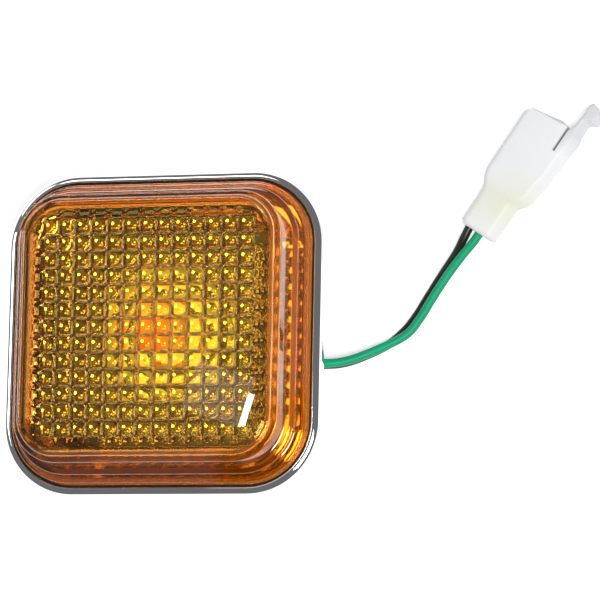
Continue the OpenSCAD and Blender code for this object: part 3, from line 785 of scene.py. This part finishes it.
@dataclass
class Lens:
    """Amber moulding: stepped side wall, flat face and a field of pillow prisms on its inside.

    A ledge holds its edge's inset from the foot, its end's and its height over the rim.
    top_ledge_end and inside_face are rows of (inset, height) from the face's edge and their own
    level, and inside_foot from the foot's inner side and the rim. The painted shade starts mark_in
    from the middle; margin_shares are its shares at the left, the bottom and the right. The painted
    yellow tint of the highlights starts at glow_in in X minus Y.
    """

    plan: RoundedSquare = field(default_factory=RoundedSquare)
    rim_z: float = 24.4
    face_z: float = 38.0
    face_t: float = 2.4
    face_in: float = 8.7
    face_r: float = 0.9
    foot_in: float = 2.5
    foot_w: float = 2.0
    foot_z: float = 22.2
    foot_bevel: float = 0.15
    foot_steps: int = 4
    edge_r: float = 0.45
    ledges: tuple[Triple, ...] = ((0.25, 1.35, 1.9), (1.9, 3.05, 4.9))
    ledge_rise: float = 0.12
    ledge_bevel: Pair = (0.15, 0.12)
    top_ledge_in: float = 4.0
    top_ledge_down: float = 1.6
    top_ledge_end: Stations = ((-1.35, 0), (-1.15, 0.02))
    face_flat_in: float = 0.7
    rim_gap: float = 0.2
    inside_face: Stations = ((0.9, 0), (0.6, -0.2), (-0.3, -3.2), (-0.7, -4.0))
    inside_foot: Stations = ((2.1, 2.8), (0.3, -0.1), (0, -0.6))
    prisms: int = 13
    pitch: float = 3.9
    gap_x: float = 1.1
    gap_y: float = 0.85
    rise: float = 0.85
    dome_r: float = 4.0
    dome_lines: tuple[float, ...] = (-1, -0.92, -0.75, -0.5, -0.25, 0, 0.25, 0.5, 0.75, 0.92, 1)
    least_rise: float = 0.02
    mark_in: float = 24.5
    margin_run: float = 0.85
    margin_shares: Triple = (1.0, 0.4, 0.3)
    wall_run: float = 2.5
    wall_top: float = 37.0
    glow_in: float = 46.0
    glow_run: float = 4.0

    def outer(self) -> np.ndarray:
        """Outside of the section, from the foot up to the face: ledges with rounded edges.

        Returns:
            Rows of (inset, height).
        """
        foot, bevel, face = self.foot_in, self.foot_bevel, self.face_in
        rows = [[[foot + bevel, self.foot_z], [foot, self.foot_z + bevel],
                 [foot, self.rim_z - self.rim_gap]]]
        for start, end, up in self.ledges:
            z = self.rim_z + up
            rows += [self._edge(foot + start, z),
                     np.array([[0, 0], self.ledge_bevel]) + [foot + end, z + self.ledge_rise]]
        z = self.face_z - self.top_ledge_down
        rows += [self._edge(foot + self.top_ledge_in, z),
                 np.array(self.top_ledge_end) + [face, z],
                 arc(face, self.face_z - self.face_r, self.face_r, 0, 90, 9),
                 [[face + self.face_flat_in, self.face_z]]]
        return np.vstack(rows)

    def _edge(self, inset: float, z: float) -> np.ndarray:
        """The rounded edge of one ledge."""
        return arc(inset + self.edge_r, z - self.edge_r, self.edge_r, 0, 90, 5)

    def inner(self) -> np.ndarray:
        """Inside of the section: straight lines from the face down to the foot.

        Returns:
            Rows of (inset, height).
        """
        foot, bevel = self.foot_in + self.foot_w, self.foot_bevel
        return np.vstack([
            np.array(self.inside_face) + [self.face_in, self.face_z - self.face_t],
            np.array(self.inside_foot) + [foot, self.rim_z],
            [[foot, self.foot_z + bevel], [foot - bevel, self.foot_z]]])

    def cell(self, gap: float) -> np.ndarray:
        """Grid lines within one cell: its low edge, then a row across the dome.

        Args:
            gap: Width of the groove.

        Returns:
            Places from the low edge, as shares of the pitch.
        """
        inside = np.array(self.dome_lines) * (self.pitch - gap) / 2
        return np.concatenate([[-self.pitch / 2], inside]) / self.pitch + 0.5

    def lines(self, gap: float) -> np.ndarray:
        """Grid lines across the whole prism field: the cell's lines, once for each cell.

        Args:
            gap: Width of the grooves.

        Returns:
            Places from the middle of the lens.
        """
        n = self.prisms
        shares = (np.arange(n)[:, None] + self.cell(gap)[None]).ravel()
        return np.append((shares - n / 2) * self.pitch, n * self.pitch / 2)

    def height(self, x: np.ndarray, y: np.ndarray) -> np.ndarray:
        """Depth of the prisms under the face: a sphere's cap in each cell, with grooves between.

        Args:
            x, y: Distances from the middle of the cell.

        Returns:
            Depth below the inner face, 0 in the grooves.
        """
        tiny = 0.001
        low = self.dome_r - self.rise
        cap = np.sqrt(np.maximum(self.dome_r ** 2 - x ** 2 - y ** 2, 0)) - low
        inside = ((np.abs(x) < (self.pitch - self.gap_x) / 2 + tiny)
                  & (np.abs(y) < (self.pitch - self.gap_y) / 2 + tiny))
        return np.where(inside, np.maximum(cap, self.least_rise), 0.0)

    def build(self) -> bpy.types.Object:
        """Makes the lens as one closed mesh and dresses it.

        Returns:
            The piece.
        """
        made = MeshBuilder()
        along, across = self.lines(self.gap_x), self.lines(self.gap_y)
        stops = along[:-1] / along[-1]
        section = np.vstack([self.inner(), self.outer()])
        ring = made.grid(self.plan.sweep(section, stops), wrap_v=True)
        made.cap(ring[-1])
        before = len(made.faces)
        rim = self._prisms(made, along, across)
        after = len(made.faces)
        made.bridge(ring[0], rim)
        piece = made.build("prism_lens", Shading.CREASED)
        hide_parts("lens")
        Finishes.LENS[LensPart.FACE].dress(piece)
        for part in list(LensPart)[1:]:
            piece.data.materials.append(Finishes.LENS[part].material())
        row = 4 * len(stops)
        slots = np.full(len(piece.data.polygons), LensPart.FACE, dtype=np.int32)
        slots[before:after] = self._prism_slots(len(stops))
        foot = (len(self.inner()) - 1) * row
        slots[:foot] = LensPart.INSIDE
        slots[foot:foot + (len(self.outer()) - 2) * row] = LensPart.WALL
        slots[foot:foot + self.foot_steps * row] = LensPart.FOOT
        piece.data.polygons.foreach_set("material_index", slots)
        self._mark(piece, slice(row * len(self.inner()), row * len(section)))
        return piece

    def _prisms(self, made: MeshBuilder, along: np.ndarray, across: np.ndarray) -> np.ndarray:
        """Adds the field of prisms as one grid, flat along its edge.

        Args:
            made: Takes the surface.
            along, across: Grid lines in X and in Y.

        Returns:
            The vertices of its edge, in the order of the plan's path.
        """
        x, y = np.meshgrid(along, across, indexing="ij")
        half = self.prisms * self.pitch / 2
        local = [(v + half) % self.pitch - self.pitch / 2 for v in (x, y)]
        under = self.face_z - self.face_t
        z = under - self.height(*local)
        z[[0, -1]] = z[:, [0, -1]] = under
        ids = made.grid(np.stack([x, y, z], axis=-1))
        return np.concatenate([ids[-1, :-1], ids[::-1, -1][:-1], ids[0, ::-1][:-1], ids[:-1, 0]])

    def _prism_slots(self, n: int) -> np.ndarray:
        """Sorts the field's faces: a cell's first and last strip each way are grooves.

        Args:
            n: Strips each way.

        Returns:
            One slot for each face.
        """
        lines = len(self.cell(0))
        place = np.arange(n) % lines
        edge = (place == 0) | (place == lines - 1)
        return np.where(edge[:, None] | edge[None], LensPart.GROOVES, LensPart.PRISMS).ravel()

    def _mark(self, piece: bpy.types.Object, outside: slice) -> None:
        """Marks where shade is painted into the amber, making it darker, and where a yellow tint is
        painted into its highlights.

        Inside, the painted shade grows over the margin beside the prisms, outside over the lower wall.
        The painted highlight tint grows with X minus Y, towards the lower right corner.

        Args:
            piece: The lens.
            outside: Its vertices that lie outside.
        """
        spot = Finish.places(piece)
        left, low, right = -spot[:, 0], -spot[:, 1], spot[:, 0]
        stain = np.max([share * ramp(v, self.mark_in, self.margin_run)
                        for share, v in zip(self.margin_shares, (left, low, right))], axis=0)
        wall = ramp(low, self.mark_in, self.wall_run) * (spot[:, 2] < self.wall_top)
        stain[outside] = wall[outside]
        Finish.mark(piece, "stain", stain)
        Finish.mark(piece, "glow", ramp(right + low, self.glow_in, self.glow_run))


@dataclass
class Seals:
    """Lens seal, carried round the plan, and the rubber parts that keep their CAD shape.

    The seal meets the lens's foot with an overlap of a hundredth of a millimetre, because the
    dark lines in the side wall need the contact.
    """

    plan: RoundedSquare = field(default_factory=RoundedSquare)
    near_in: float = 1.9
    far_in: float = 2.51
    under_in: float = 3.2
    low_z: float = 21.4
    under_z: float = 22.21
    top_z: float = 23.9
    edge_r: float = 0.2

    def build(self) -> bpy.types.Object:
        """Makes the lens seal: straight lines and two arcs, once round the plan.

        Returns:
            The piece.
        """
        made = MeshBuilder()
        r, z = self.edge_r, self.top_z - self.edge_r
        section = np.vstack([
            [[self.near_in, self.low_z]], arc(self.near_in + r, z, r, 0, 90, 4),
            arc(self.far_in - r, z, r, 90, 180, 4),
            [[self.far_in, self.under_z], [self.under_in, self.under_z],
             [self.under_in, self.low_z]]])
        made.grid(self.plan.sweep(section, self.plan.even_stops()), wrap_u=True, wrap_v=True)
        piece = made.build("lens_seal_ring", Shading.CREASED)
        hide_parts("lens_seal")
        for node in ("panel_gasket", "holder_seal", "wire_grommet"):
            Finishes.RUBBER.dress_node(node)
        return Finishes.SEAL.dress(piece)


@dataclass
class Bulb:
    """Wedge-base bulb: amber capsule with a hollow inside, flat base, leads and filament.

    shoulder and hollow are rows of (radius, height over the neck) below the straight glass.
    """

    radius: float = 5.0
    glass: float = 0.6
    low_z: float = 6.0
    length: float = 26.8
    shoulder: Stations = ((0.05, -0.8), (2.9, -0.8), (3.9, -0.3), (4.7, 0.7))
    shoulder_up: float = 1.6
    hollow: Stations = ((0.05, 2.0), (3.0, 2.0), (4.0, 2.5))
    hollow_up: float = 3.4
    crown_end: float = 88.0
    base_l: float = 9.0
    base_w: float = 9.2
    base_t: float = 2.6
    base_gap: float = 0.85

    def profile(self, start: Stations, r: float, up: float) -> np.ndarray:
        """Half a section of the glass: rows below, the straight side and a round crown.

        Args:
            start: Rows of (radius, height over the neck).
            r: Radius of the side and the crown.
            up: Height over the neck where the side starts.

        Returns:
            Rows of (radius, height).
        """
        neck = self.low_z + self.base_l
        crown = self.low_z + self.length - self.radius
        a = np.radians(np.linspace(0, self.crown_end, 14))
        return np.vstack([np.array([*start, (r, up)]) + [0, neck],
                          np.stack([r * np.cos(a), crown + r * np.sin(a)], axis=-1)])

    def build(self) -> bpy.types.Object:
        """Makes the glass and dresses the bulb.

        Returns:
            The piece.
        """
        made = MeshBuilder()
        inner_r = self.radius - self.glass
        for profile in (self.profile(self.shoulder, self.radius, self.shoulder_up),
                        self.profile(self.hollow, inner_r, self.hollow_up)):
            made.revolve(profile, (0, 0), turns=64)
        top = self.low_z + self.base_l - self.base_gap
        half_w, half_t = self.base_w / 2, self.base_t / 2
        made.box((-half_w, -half_t, self.low_z), (half_w, half_t, top))
        piece = made.build("bulb_capsule", Shading.CREASED)
        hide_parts("bulb_glass")
        Finishes.BULB.dress(piece)
        for node in ("bulb_lead_left", "bulb_lead_right"):
            Finishes.NICKEL.dress_node(node)
        Finishes.TUNGSTEN.dress_node("bulb_filament")
        return piece


@dataclass
class Holder:
    """Twist-in bulb holder, and all the brass of the lamp and plug; all keep their CAD shape."""

    holder: str = "bulb_holder"
    brass: tuple[str, ...] = ("holder_contact_left", "holder_contact_right", "screw_insert_top",
                              "screw_insert_bottom", "plug_terminal_green", "plug_terminal_black")

    def build(self) -> None:
        """Dresses the CAD nodes."""
        Finishes.HOLDER.dress_node(self.holder)
        for node in self.brass:
            Finishes.BRASS.dress_node(node)


@dataclass
class Plug:
    """Two-way plug: narrow wire end, shoulders, mating end with its mouth, and a side latch arm.

    It is made in its own frame, X towards the mating end, Y to the left and Z up. The tables are
    rows of (X, side in Y) or (X, radius); front_bow has rows of (Y, X). mouth holds its sides in
    Y and its heights, and the mating radii are those outside, over the lip and in the mouth.
    latch_end is a start, a run and a drop, and the marks are: neck_mark a middle and a width in
    X and neck_mark_y an edge and a run in Y, for the greenish tint where the wires show through the
    neck; latch_mark a share, a run in X and a side in Y, and rear_mark a share and a run in X, for
    the painted shade that greys the latch arm and the rear end.
    """

    place: Pair = (69.8, 25.2)
    turn: float = 56.0
    thick: float = 8.6
    split_x: float = 25.4
    flat_x: float = 40.0
    rear_lip: float = 1.1
    rear_high: Stations = ((0, 4.35), (9.4, 4.4), (10.4, 4.6), (12.2, 5.5), (13.6, 5.9), (16, 6.0))
    rear_low: Stations = ((0, -4.5), (9.2, -4.5), (10.2, -4.85), (11.2, -5.8), (12.4, -6.4),
                          (14.2, -6.65), (19.2, -7.35), (25.4, -7.55))
    rear_step: Stations = ((9.2, 0.5), (11.0, 0.01))
    rear_r: Stations = ((0, 2.2), (9, 2.0), (13, 1.5))
    rear_low_share: float = 0.9
    front_bow: Stations = ((-4.9, 31.7), (-3.2, 32.2), (-1.5, 32.4), (0.5, 32.3), (2.4, 31.9),
                           (3.9, 31.4), (5.0, 30.5), (5.7, 29.6), (6.0, 28.4))
    front_sides: Pair = (-4.9, 6.0)
    front_step: float = 0.01
    front_rows: int = 24
    mouth: tuple[float, float, float, float] = (-3.6, 4.7, 1.4, 7.2)
    mouth_x: float = 19.1
    mouth_shift: float = 7.0
    mouth_lip: float = 0.35
    mouth_rows: int = 8
    mating_low_r: tuple[float, ...] = (0.3, 0.3, 0.8, 0.6)
    mating_high_r: tuple[float, ...] = (1.5, 1.3, 0.8, 0.6)
    hole_r: float = 1.25
    hole_places: Pair = (-0.5, 2.4)
    hole_depth: float = 3.5
    latch_x: tuple[Pair, Pair] = ((25.3, 34.2), (34.5, 39.6))
    latch_high: Stations = ((25, -5.4), (31.2, -5.4), (31.9, -5.75), (33.5, -6.25), (36.8, -6.45),
                            (38.2, -6.3), (39.1, -6.55), (39.6, -7.05))
    latch_low: Stations = ((25, -7.5), (29, -7.95), (30.6, -7.85), (31.1, -7.5), (34.4, -7.3),
                           (35.1, -7.6), (35.9, -9.1), (37.2, -9.9), (38.1, -9.7), (38.8, -8.7),
                           (39.3, -7.7), (39.6, -7.25))
    latch_low_r: Stations = ((25, 1.25), (29, 1.2), (32, 0.6))
    latch_high_r: Stations = ((25, 0.3), (31, 0.3), (33, 0.6))
    latch_r_share: float = 0.95
    latch_step: float = 0.05
    latch_end: Triple = (39.0, 0.6, 0.5)
    neck_mark: Pair = (9.5, 6.5)
    neck_mark_y: Pair = (4.4, 3.0)
    latch_mark: Triple = (0.85, 6.0, -5.2)
    rear_mark: Pair = (0.5, 1.5)

    @staticmethod
    def section(low: np.ndarray, high: np.ndarray, floor: np.ndarray, top: np.ndarray,
                r_low: np.ndarray, r_high: np.ndarray, n: int = 6) -> np.ndarray:
        """Rounded rectangles across the plug: four quarter circles, one round each corner.

        Args:
            low, high: Sides in Y at each station.
            floor, top: Heights at each station.
            r_low, r_high: Corner radii on the low and the high side.
            n: Steps in a quarter.

        Returns:
            Y and Z of shape (stations, 4 (n + 1), 2).
        """
        quarters = []
        for start, side, r, into_y, level, into_z in (
                (0, high, r_high, -1, top, -1), (90, low, r_low, 1, top, -1),
                (180, low, r_low, 1, floor, 1), (270, high, r_high, -1, floor, 1)):
            a = np.radians(start + np.linspace(0, 90, n + 1))[None]
            y = side[:, None] + r[:, None] * (np.cos(a) + into_y)
            z = level[:, None] + r[:, None] * (np.sin(a) + into_z)
            quarters.append(np.stack([y, z], axis=-1))
        return np.concatenate(quarters, axis=1)

    def loft(self, x: np.ndarray, *sizes: float | np.ndarray) -> np.ndarray:
        """Stands the sections at their places along X.

        Args:
            x: The stations.
            sizes: What section() takes, one value or one for each station.

        Returns:
            Points of shape (stations, round, 3).
        """
        flat = self.section(*(np.broadcast_to(v, x.shape).astype(float) for v in sizes))
        along = np.broadcast_to(x[:, None, None], flat.shape[:2] + (1,))
        return np.concatenate([along, flat], axis=-1)

    def axes(self) -> np.ndarray:
        """The plug's axes in the lamp's frame, one a row: a turn about Z."""
        a = math.radians(self.turn)
        return np.array([[math.cos(a), math.sin(a), 0], [-math.sin(a), math.cos(a), 0], [0, 0, 1]])

    def world(self, points: np.ndarray) -> np.ndarray:
        """Turns points of the plug's own frame into the lamp's frame."""
        return points @ self.axes() + np.array([*self.place, 0.0])

    def build(self) -> bpy.types.Object:
        """Makes the plug as two closed lofts in one mesh.

        Returns:
            The piece.
        """
        made = MeshBuilder()
        self._body(made)
        self._latch(made)
        piece = made.build("latch_plug", Shading.CREASED)
        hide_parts("plug_housing")
        self._mark(piece)
        return Finishes.NYLON.dress(piece)

    def _mark(self, piece: bpy.types.Object) -> None:
        """Marks the neck's greenish tint of the wires inside, by a bell curve along X, and the painted
        shade that greys the latch arm and rear end, by ramps.

        Args:
            piece: The plug.
        """
        own = (Finish.places(piece)[:, :2] - np.array(self.place)) @ self.axes()[:2, :2].T
        x, y = own[:, 0], own[:, 1]
        (middle, width), (edge, run) = self.neck_mark, self.neck_mark_y
        neck = np.exp(-((x - middle) / width) ** 2) * ramp(-y, -edge, run)
        share, run, side = self.latch_mark
        latch = share * ramp(x, self.split_x, run) * (y < side)
        share, run = self.rear_mark
        rear = share * ramp(-x, -run, run)
        Finish.mark(piece, "stain", neck)
        # Painted shade: greys the latch arm and the rear end.
        Finish.mark(piece, "shade", np.maximum(latch, rear))

    def _body(self, made: MeshBuilder) -> None:
        """Wire end, shoulders and mating end as one loft, over a rounded lip into the mouth.

        The mating end is first lofted with a flat front. Then X shrinks in the share that takes
        that front to the bowed one, and the mouth's rows keep their distance behind it.

        Args:
            made: Takes the surface.
        """
        rear, front = self._rear(), self._mating()
        points = self.loft(*(np.concatenate(pair) for pair in zip(rear, front)))
        mating = points[len(rear[0]):]
        x = mating[..., 0]
        share = (x - self.split_x) / (self.flat_x - self.split_x)
        reach = look_up(mating[..., 1], self.front_bow)
        outside = np.arange(len(mating))[:, None] < self.front_rows + 2
        mating[..., 0] = np.where(outside, self.split_x + share * (reach - self.split_x),
                                  np.minimum(reach, x - self.mouth_shift))
        ids = made.grid(self.world(points), wrap_v=True)
        made.cap(ids[-1])
        self._holes(made, ids[0])

    def _rear(self) -> list[np.ndarray]:
        """Stations of the wire end and shoulders, with a quarter-round lip at the rear.

        Returns:
            X, then what section() takes.
        """
        t = np.radians(np.linspace(0, 90, 7))
        lip = self.rear_lip
        body = np.linspace(lip, self.split_x, 50)[1:]
        x = np.concatenate([lip * (1 - np.cos(t)), body])
        shrink = np.concatenate([lip * (1 - np.sin(t)), np.zeros_like(body)])
        high, low = look_up(x, self.rear_high) - shrink, look_up(x, self.rear_low) + shrink
        step = look_up(x, self.rear_step)
        r = look_up(x, self.rear_r) - shrink
        return [x, low, high, step + shrink, self.thick - step - shrink,
                r * self.rear_low_share, r]

    def _holes(self, made: MeshBuilder, rim: np.ndarray) -> None:
        """Rear face round two holes: each hole is a circle carried inwards.

        Args:
            made: Takes the surfaces.
            rim: Vertices of the rear face's rim.
        """
        a = np.linspace(0, 2 * np.pi, 24, endpoint=False)
        rings = []
        for middle in self.hole_places:
            y, z = middle + self.hole_r * np.cos(a), self.thick / 2 + self.hole_r * np.sin(a)
            ring = np.stack([np.zeros_like(a), y, z], axis=-1)
            rows = np.stack([ring, ring + np.array([self.hole_depth, 0, 0])])
            ids = made.grid(self.world(rows), wrap_v=True)
            made.cap(ids[-1][::-1])
            rings.append(ids[0])
        made.cap_round_holes(rim, rings)

    def _mating(self) -> list[np.ndarray]:
        """Stations of the mating end as if its front were flat, out, over the lip and back in.

        Returns:
            X, then what section() takes.
        """
        (low, high), (y_low, y_high, floor, top) = self.front_sides, self.mouth
        lip, step, thick, n_in = self.mouth_lip, self.front_step, self.thick, self.mouth_rows
        x = np.concatenate([np.linspace(self.split_x, self.flat_x, self.front_rows),
                            [self.flat_x + lip] * 2,
                            np.linspace(self.flat_x, self.mouth_x + self.mouth_shift, n_in)])
        rows = ((low, low + lip, y_low - lip, y_low), (high, high - lip, y_high + lip, y_high),
                (step, lip, floor - lip, floor), (thick - step, thick - lip, top + lip, top),
                self.mating_low_r, self.mating_high_r)
        return [x] + [np.repeat(row, (self.front_rows, 1, 1, n_in)) for row in rows]

    def _latch(self, made: MeshBuilder) -> None:
        """Latch arm: past the slit it leaves the body, necks down and ends in a barbed tip.

        Args:
            made: Takes the surface.
        """
        x = np.concatenate([np.linspace(*ends, 26) for ends in self.latch_x])
        high, low = look_up(x, self.latch_high), look_up(x, self.latch_low)
        start, run, drop = self.latch_end
        z = self.latch_step + ramp(x, start, run) ** 2 * drop
        room = (high - low) / 2 * self.latch_r_share
        r_low, r_high = (np.minimum(look_up(x, rows), room)
                         for rows in (self.latch_low_r, self.latch_high_r))
        points = self.loft(x, low, high, z, self.thick - z, r_low, r_high)
        ids = made.grid(self.world(points), wrap_v=True)
        made.cap(ids[0][::-1])
        made.cap(ids[-1])


@dataclass
class Lead:
    """The two wires of the lead, laid along the routes that the part's source has."""

    wire_d: float = 2.1
    green: tuple[Triple, ...] = (
        (0, 2.5, 4.2), (5, 2.5, 4.2), (9, 2.4, 4.4), (14, 0.6, 5.1), (20, -3.4, 6.4),
        (25, -5.2, 6.9), (30, -5.2, 6.9), (34.5, -5.2, 6.8), (37.5, -5, 6.3), (41.6, -3.9, 5.3),
        (48, -1.2, 4.3), (53.2, 1.7, 3.6), (56.2, 5.3, 3.4), (59.2, 10.2, 3.3),
        (62.5, 15.2, 3.4), (66.2, 19.9, 3.9), (69.1, 23.2, 4.3), (70.8, 25.8, 4.3),
        (72.4, 28.2, 4.3))
    black: tuple[Triple, ...] = (
        (4.8, -2.5, 4.2), (9, -2.5, 4.2), (14, -3.2, 4.2), (20, -4.8, 4.3), (25, -5.2, 4.3),
        (30, -5.2, 4.3), (34.5, -5.2, 4.2), (37.5, -4.95, 3.7), (41.4, -3.75, 2.7),
        (47.6, -0.8, 1.5), (51.9, 2.6, 1.2), (54.9, 6.3, 1.1), (58, 11.3, 1.1),
        (61.2, 16.2, 1.4), (64.5, 20.7, 2.5), (66.7, 24.3, 3.9), (68.4, 27.4, 4.3),
        (70, 29.8, 4.3))

    @staticmethod
    def spline(route: np.ndarray, fine: int = 12) -> np.ndarray:
        """Catmull-Rom curve: each stretch is a cubic set by the four points round it.

        Args:
            route: Points of shape (n, 3).
            fine: Steps a stretch.

        Returns:
            Points of shape (m, 3).
        """
        p = np.vstack([route[:1], route, route[-1:]])
        a, b, c, d = (p[i:len(p) - 3 + i, None] for i in range(4))
        t = np.linspace(0, 1, fine, endpoint=False)[None, :, None]
        cubic = 0.5 * (2 * b + (c - a) * t + (2 * a - 5 * b + 4 * c - d) * t ** 2
                       + (3 * b - a - 3 * c + d) * t ** 3)
        return np.vstack([cubic.reshape(-1, 3), route[-1:]])

    def wire(self, name: str, route: tuple[Triple, ...], finish: Finish, node: str) -> bpy.types.Object:
        """Args:
            name: Name of the piece.
            route: Points in millimetres.
            finish: The insulation's finish.
            node: The CAD node that it stands for.

        Returns:
            The curve object.
        """
        points = self.spline(np.array(route))
        curve = bpy.data.curves.new(name, "CURVE")
        curve.dimensions = "3D"
        curve.bevel_depth = self.wire_d / 2 * MM
        curve.bevel_resolution = 5
        curve.use_fill_caps = True
        line = curve.splines.new("POLY")
        line.points.add(len(points) - 1)
        flat = np.hstack([points * MM, np.ones((len(points), 1))])
        line.points.foreach_set("co", flat.ravel())
        line.use_smooth = True
        piece = bpy.data.objects.new(name, curve)
        bpy.context.scene.collection.objects.link(piece)
        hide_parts(node)
        finish.dress(piece)
        return piece

    def build(self, plug: bpy.types.Object) -> None:
        """Makes both wires, ending in the plug.

        Args:
            plug: The plug's piece, not used.
        """
        self.wire("green_lead", self.green, Finishes.GREEN, "green_wire")
        self.wire("black_lead", self.black, Finishes.BLACK, "black_wire")


@dataclass(frozen=True)
class SoftLamp:
    """An oblong lamp that faces the part; lengths in metres, power in watts."""

    name: str
    place: Triple
    size: Pair
    power: float
    aim: Triple = (0.02, 0, 0.02)

    def build(self) -> None:
        """Adds the lamp to the scene."""
        data = bpy.data.lights.new(self.name, "AREA")
        data.shape = "RECTANGLE"
        data.size, data.size_y = self.size
        data.energy = self.power
        piece = bpy.data.objects.new(self.name, data)
        piece.location = self.place
        piece.rotation_mode = "QUATERNION"
        ahead = Vector(self.aim) - Vector(self.place)
        piece.rotation_quaternion = ahead.to_track_quat("-Z", "Y")
        bpy.context.scene.collection.objects.link(piece)


@dataclass
class Studio:
    """Camera, floor, world and lamps: four soft ones, and two tiny ones for the lens.

    glint makes the white streak on the face, and sheen the haze beside it.
    """

    place: Triple = (0.25677, -0.11643, 0.85516)
    look: Triple = (-0.2575, 0.1422, -0.9558)
    up: Triple = (0.0173, 0.9896, 0.1426)
    focal: float = 227.78
    sensor: float = 36.0
    clip: Pair = (0.01, 20.0)
    floor_half: float = 6000.0
    floor_z: float = -0.05
    floor_shade: float = 0.8
    floor_roughness: float = 0.9
    floor_light: float = 0.45
    sky: Triple = (0.17, 0.17, 0.175)
    lamps: tuple[SoftLamp, ...] = (
        SoftLamp("key", (0.44, -0.27, 0.9), (0.42, 0.42), 13.0),
        SoftLamp("fill", (-0.6, 0.5, 0.5), (0.3, 0.3), 0.9),
        SoftLamp("back", (-0.28, 0.52, 0.85), (0.3, 0.24), 0.9),
        SoftLamp("left", (-0.66, 0.15, 0.8), (0.2, 0.4), 1.4),
        SoftLamp("glint", (-0.1378, 0.0480, 0.61), (0.013, 0.0025), 0.003),
        SoftLamp("sheen", (-0.149, 0.0545, 0.61), (0.02, 0.024), 0.0018))

    def camera(self) -> None:
        """Sets the camera at the photograph's place."""
        data = bpy.data.cameras.new("view")
        data.sensor_width = self.sensor
        data.lens = self.focal
        data.clip_start, data.clip_end = self.clip
        shot = bpy.data.objects.new("view", data)
        ahead = Vector(self.look).normalized()
        right = ahead.cross(Vector(self.up)).normalized()
        turn = Matrix((right, right.cross(ahead), -ahead)).transposed()
        shot.matrix_world = Matrix.Translation(Vector(self.place)) @ turn.to_4x4()
        bpy.context.scene.collection.objects.link(shot)
        bpy.context.scene.camera = shot

    def floor(self) -> None:
        """White floor, wide enough to reach past the picture, that keeps the lamp's shadow."""
        half, low = self.floor_half, self.floor_z
        made = MeshBuilder()
        made.grid(np.array([[[x, y, low] for y in (-half, half)] for x in (-half, half)]))
        piece = made.build("floor", outward=False)
        paint = bpy.data.materials.new("floor_paint")
        paint.use_nodes = True
        inputs = paint.node_tree.nodes["Principled BSDF"].inputs
        inputs["Base Color"].default_value = (*[self.floor_shade] * 3, 1)
        inputs["Roughness"].default_value = self.floor_roughness
        inputs["Emission Color"].default_value = (1, 1, 1, 1)
        inputs["Emission Strength"].default_value = self.floor_light
        piece.data.materials.append(paint)

    def lights(self) -> None:
        """Plain world and the lamps."""
        world = bpy.data.worlds.new("studio")
        world.use_nodes = True
        sky = world.node_tree.nodes["Background"]
        sky.inputs["Color"].default_value = (*self.sky, 1)
        bpy.context.scene.world = world
        for lamp in self.lamps:
            lamp.build()


def main() -> None:
    """Builds the scene in order and reports each piece."""
    logging.basicConfig(level=logging.INFO, format="%(message)s")
    bpy.context.scene.view_settings.view_transform = "Standard"
    bpy.context.scene.cycles.blur_glossy = 0.0  # keeps the small highlights in the prisms
    studio = Studio()
    studio.camera()
    plug = Plug().build()
    LOG.info("%s", plug.name)
    Lead().build(plug)
    for assembly in (Housing(), Lens(), Seals(), Bulb()):
        LOG.info("%s", assembly.build().name)
    Holder().build()
    studio.floor()
    studio.lights()


if __name__ == "__main__":
    main()
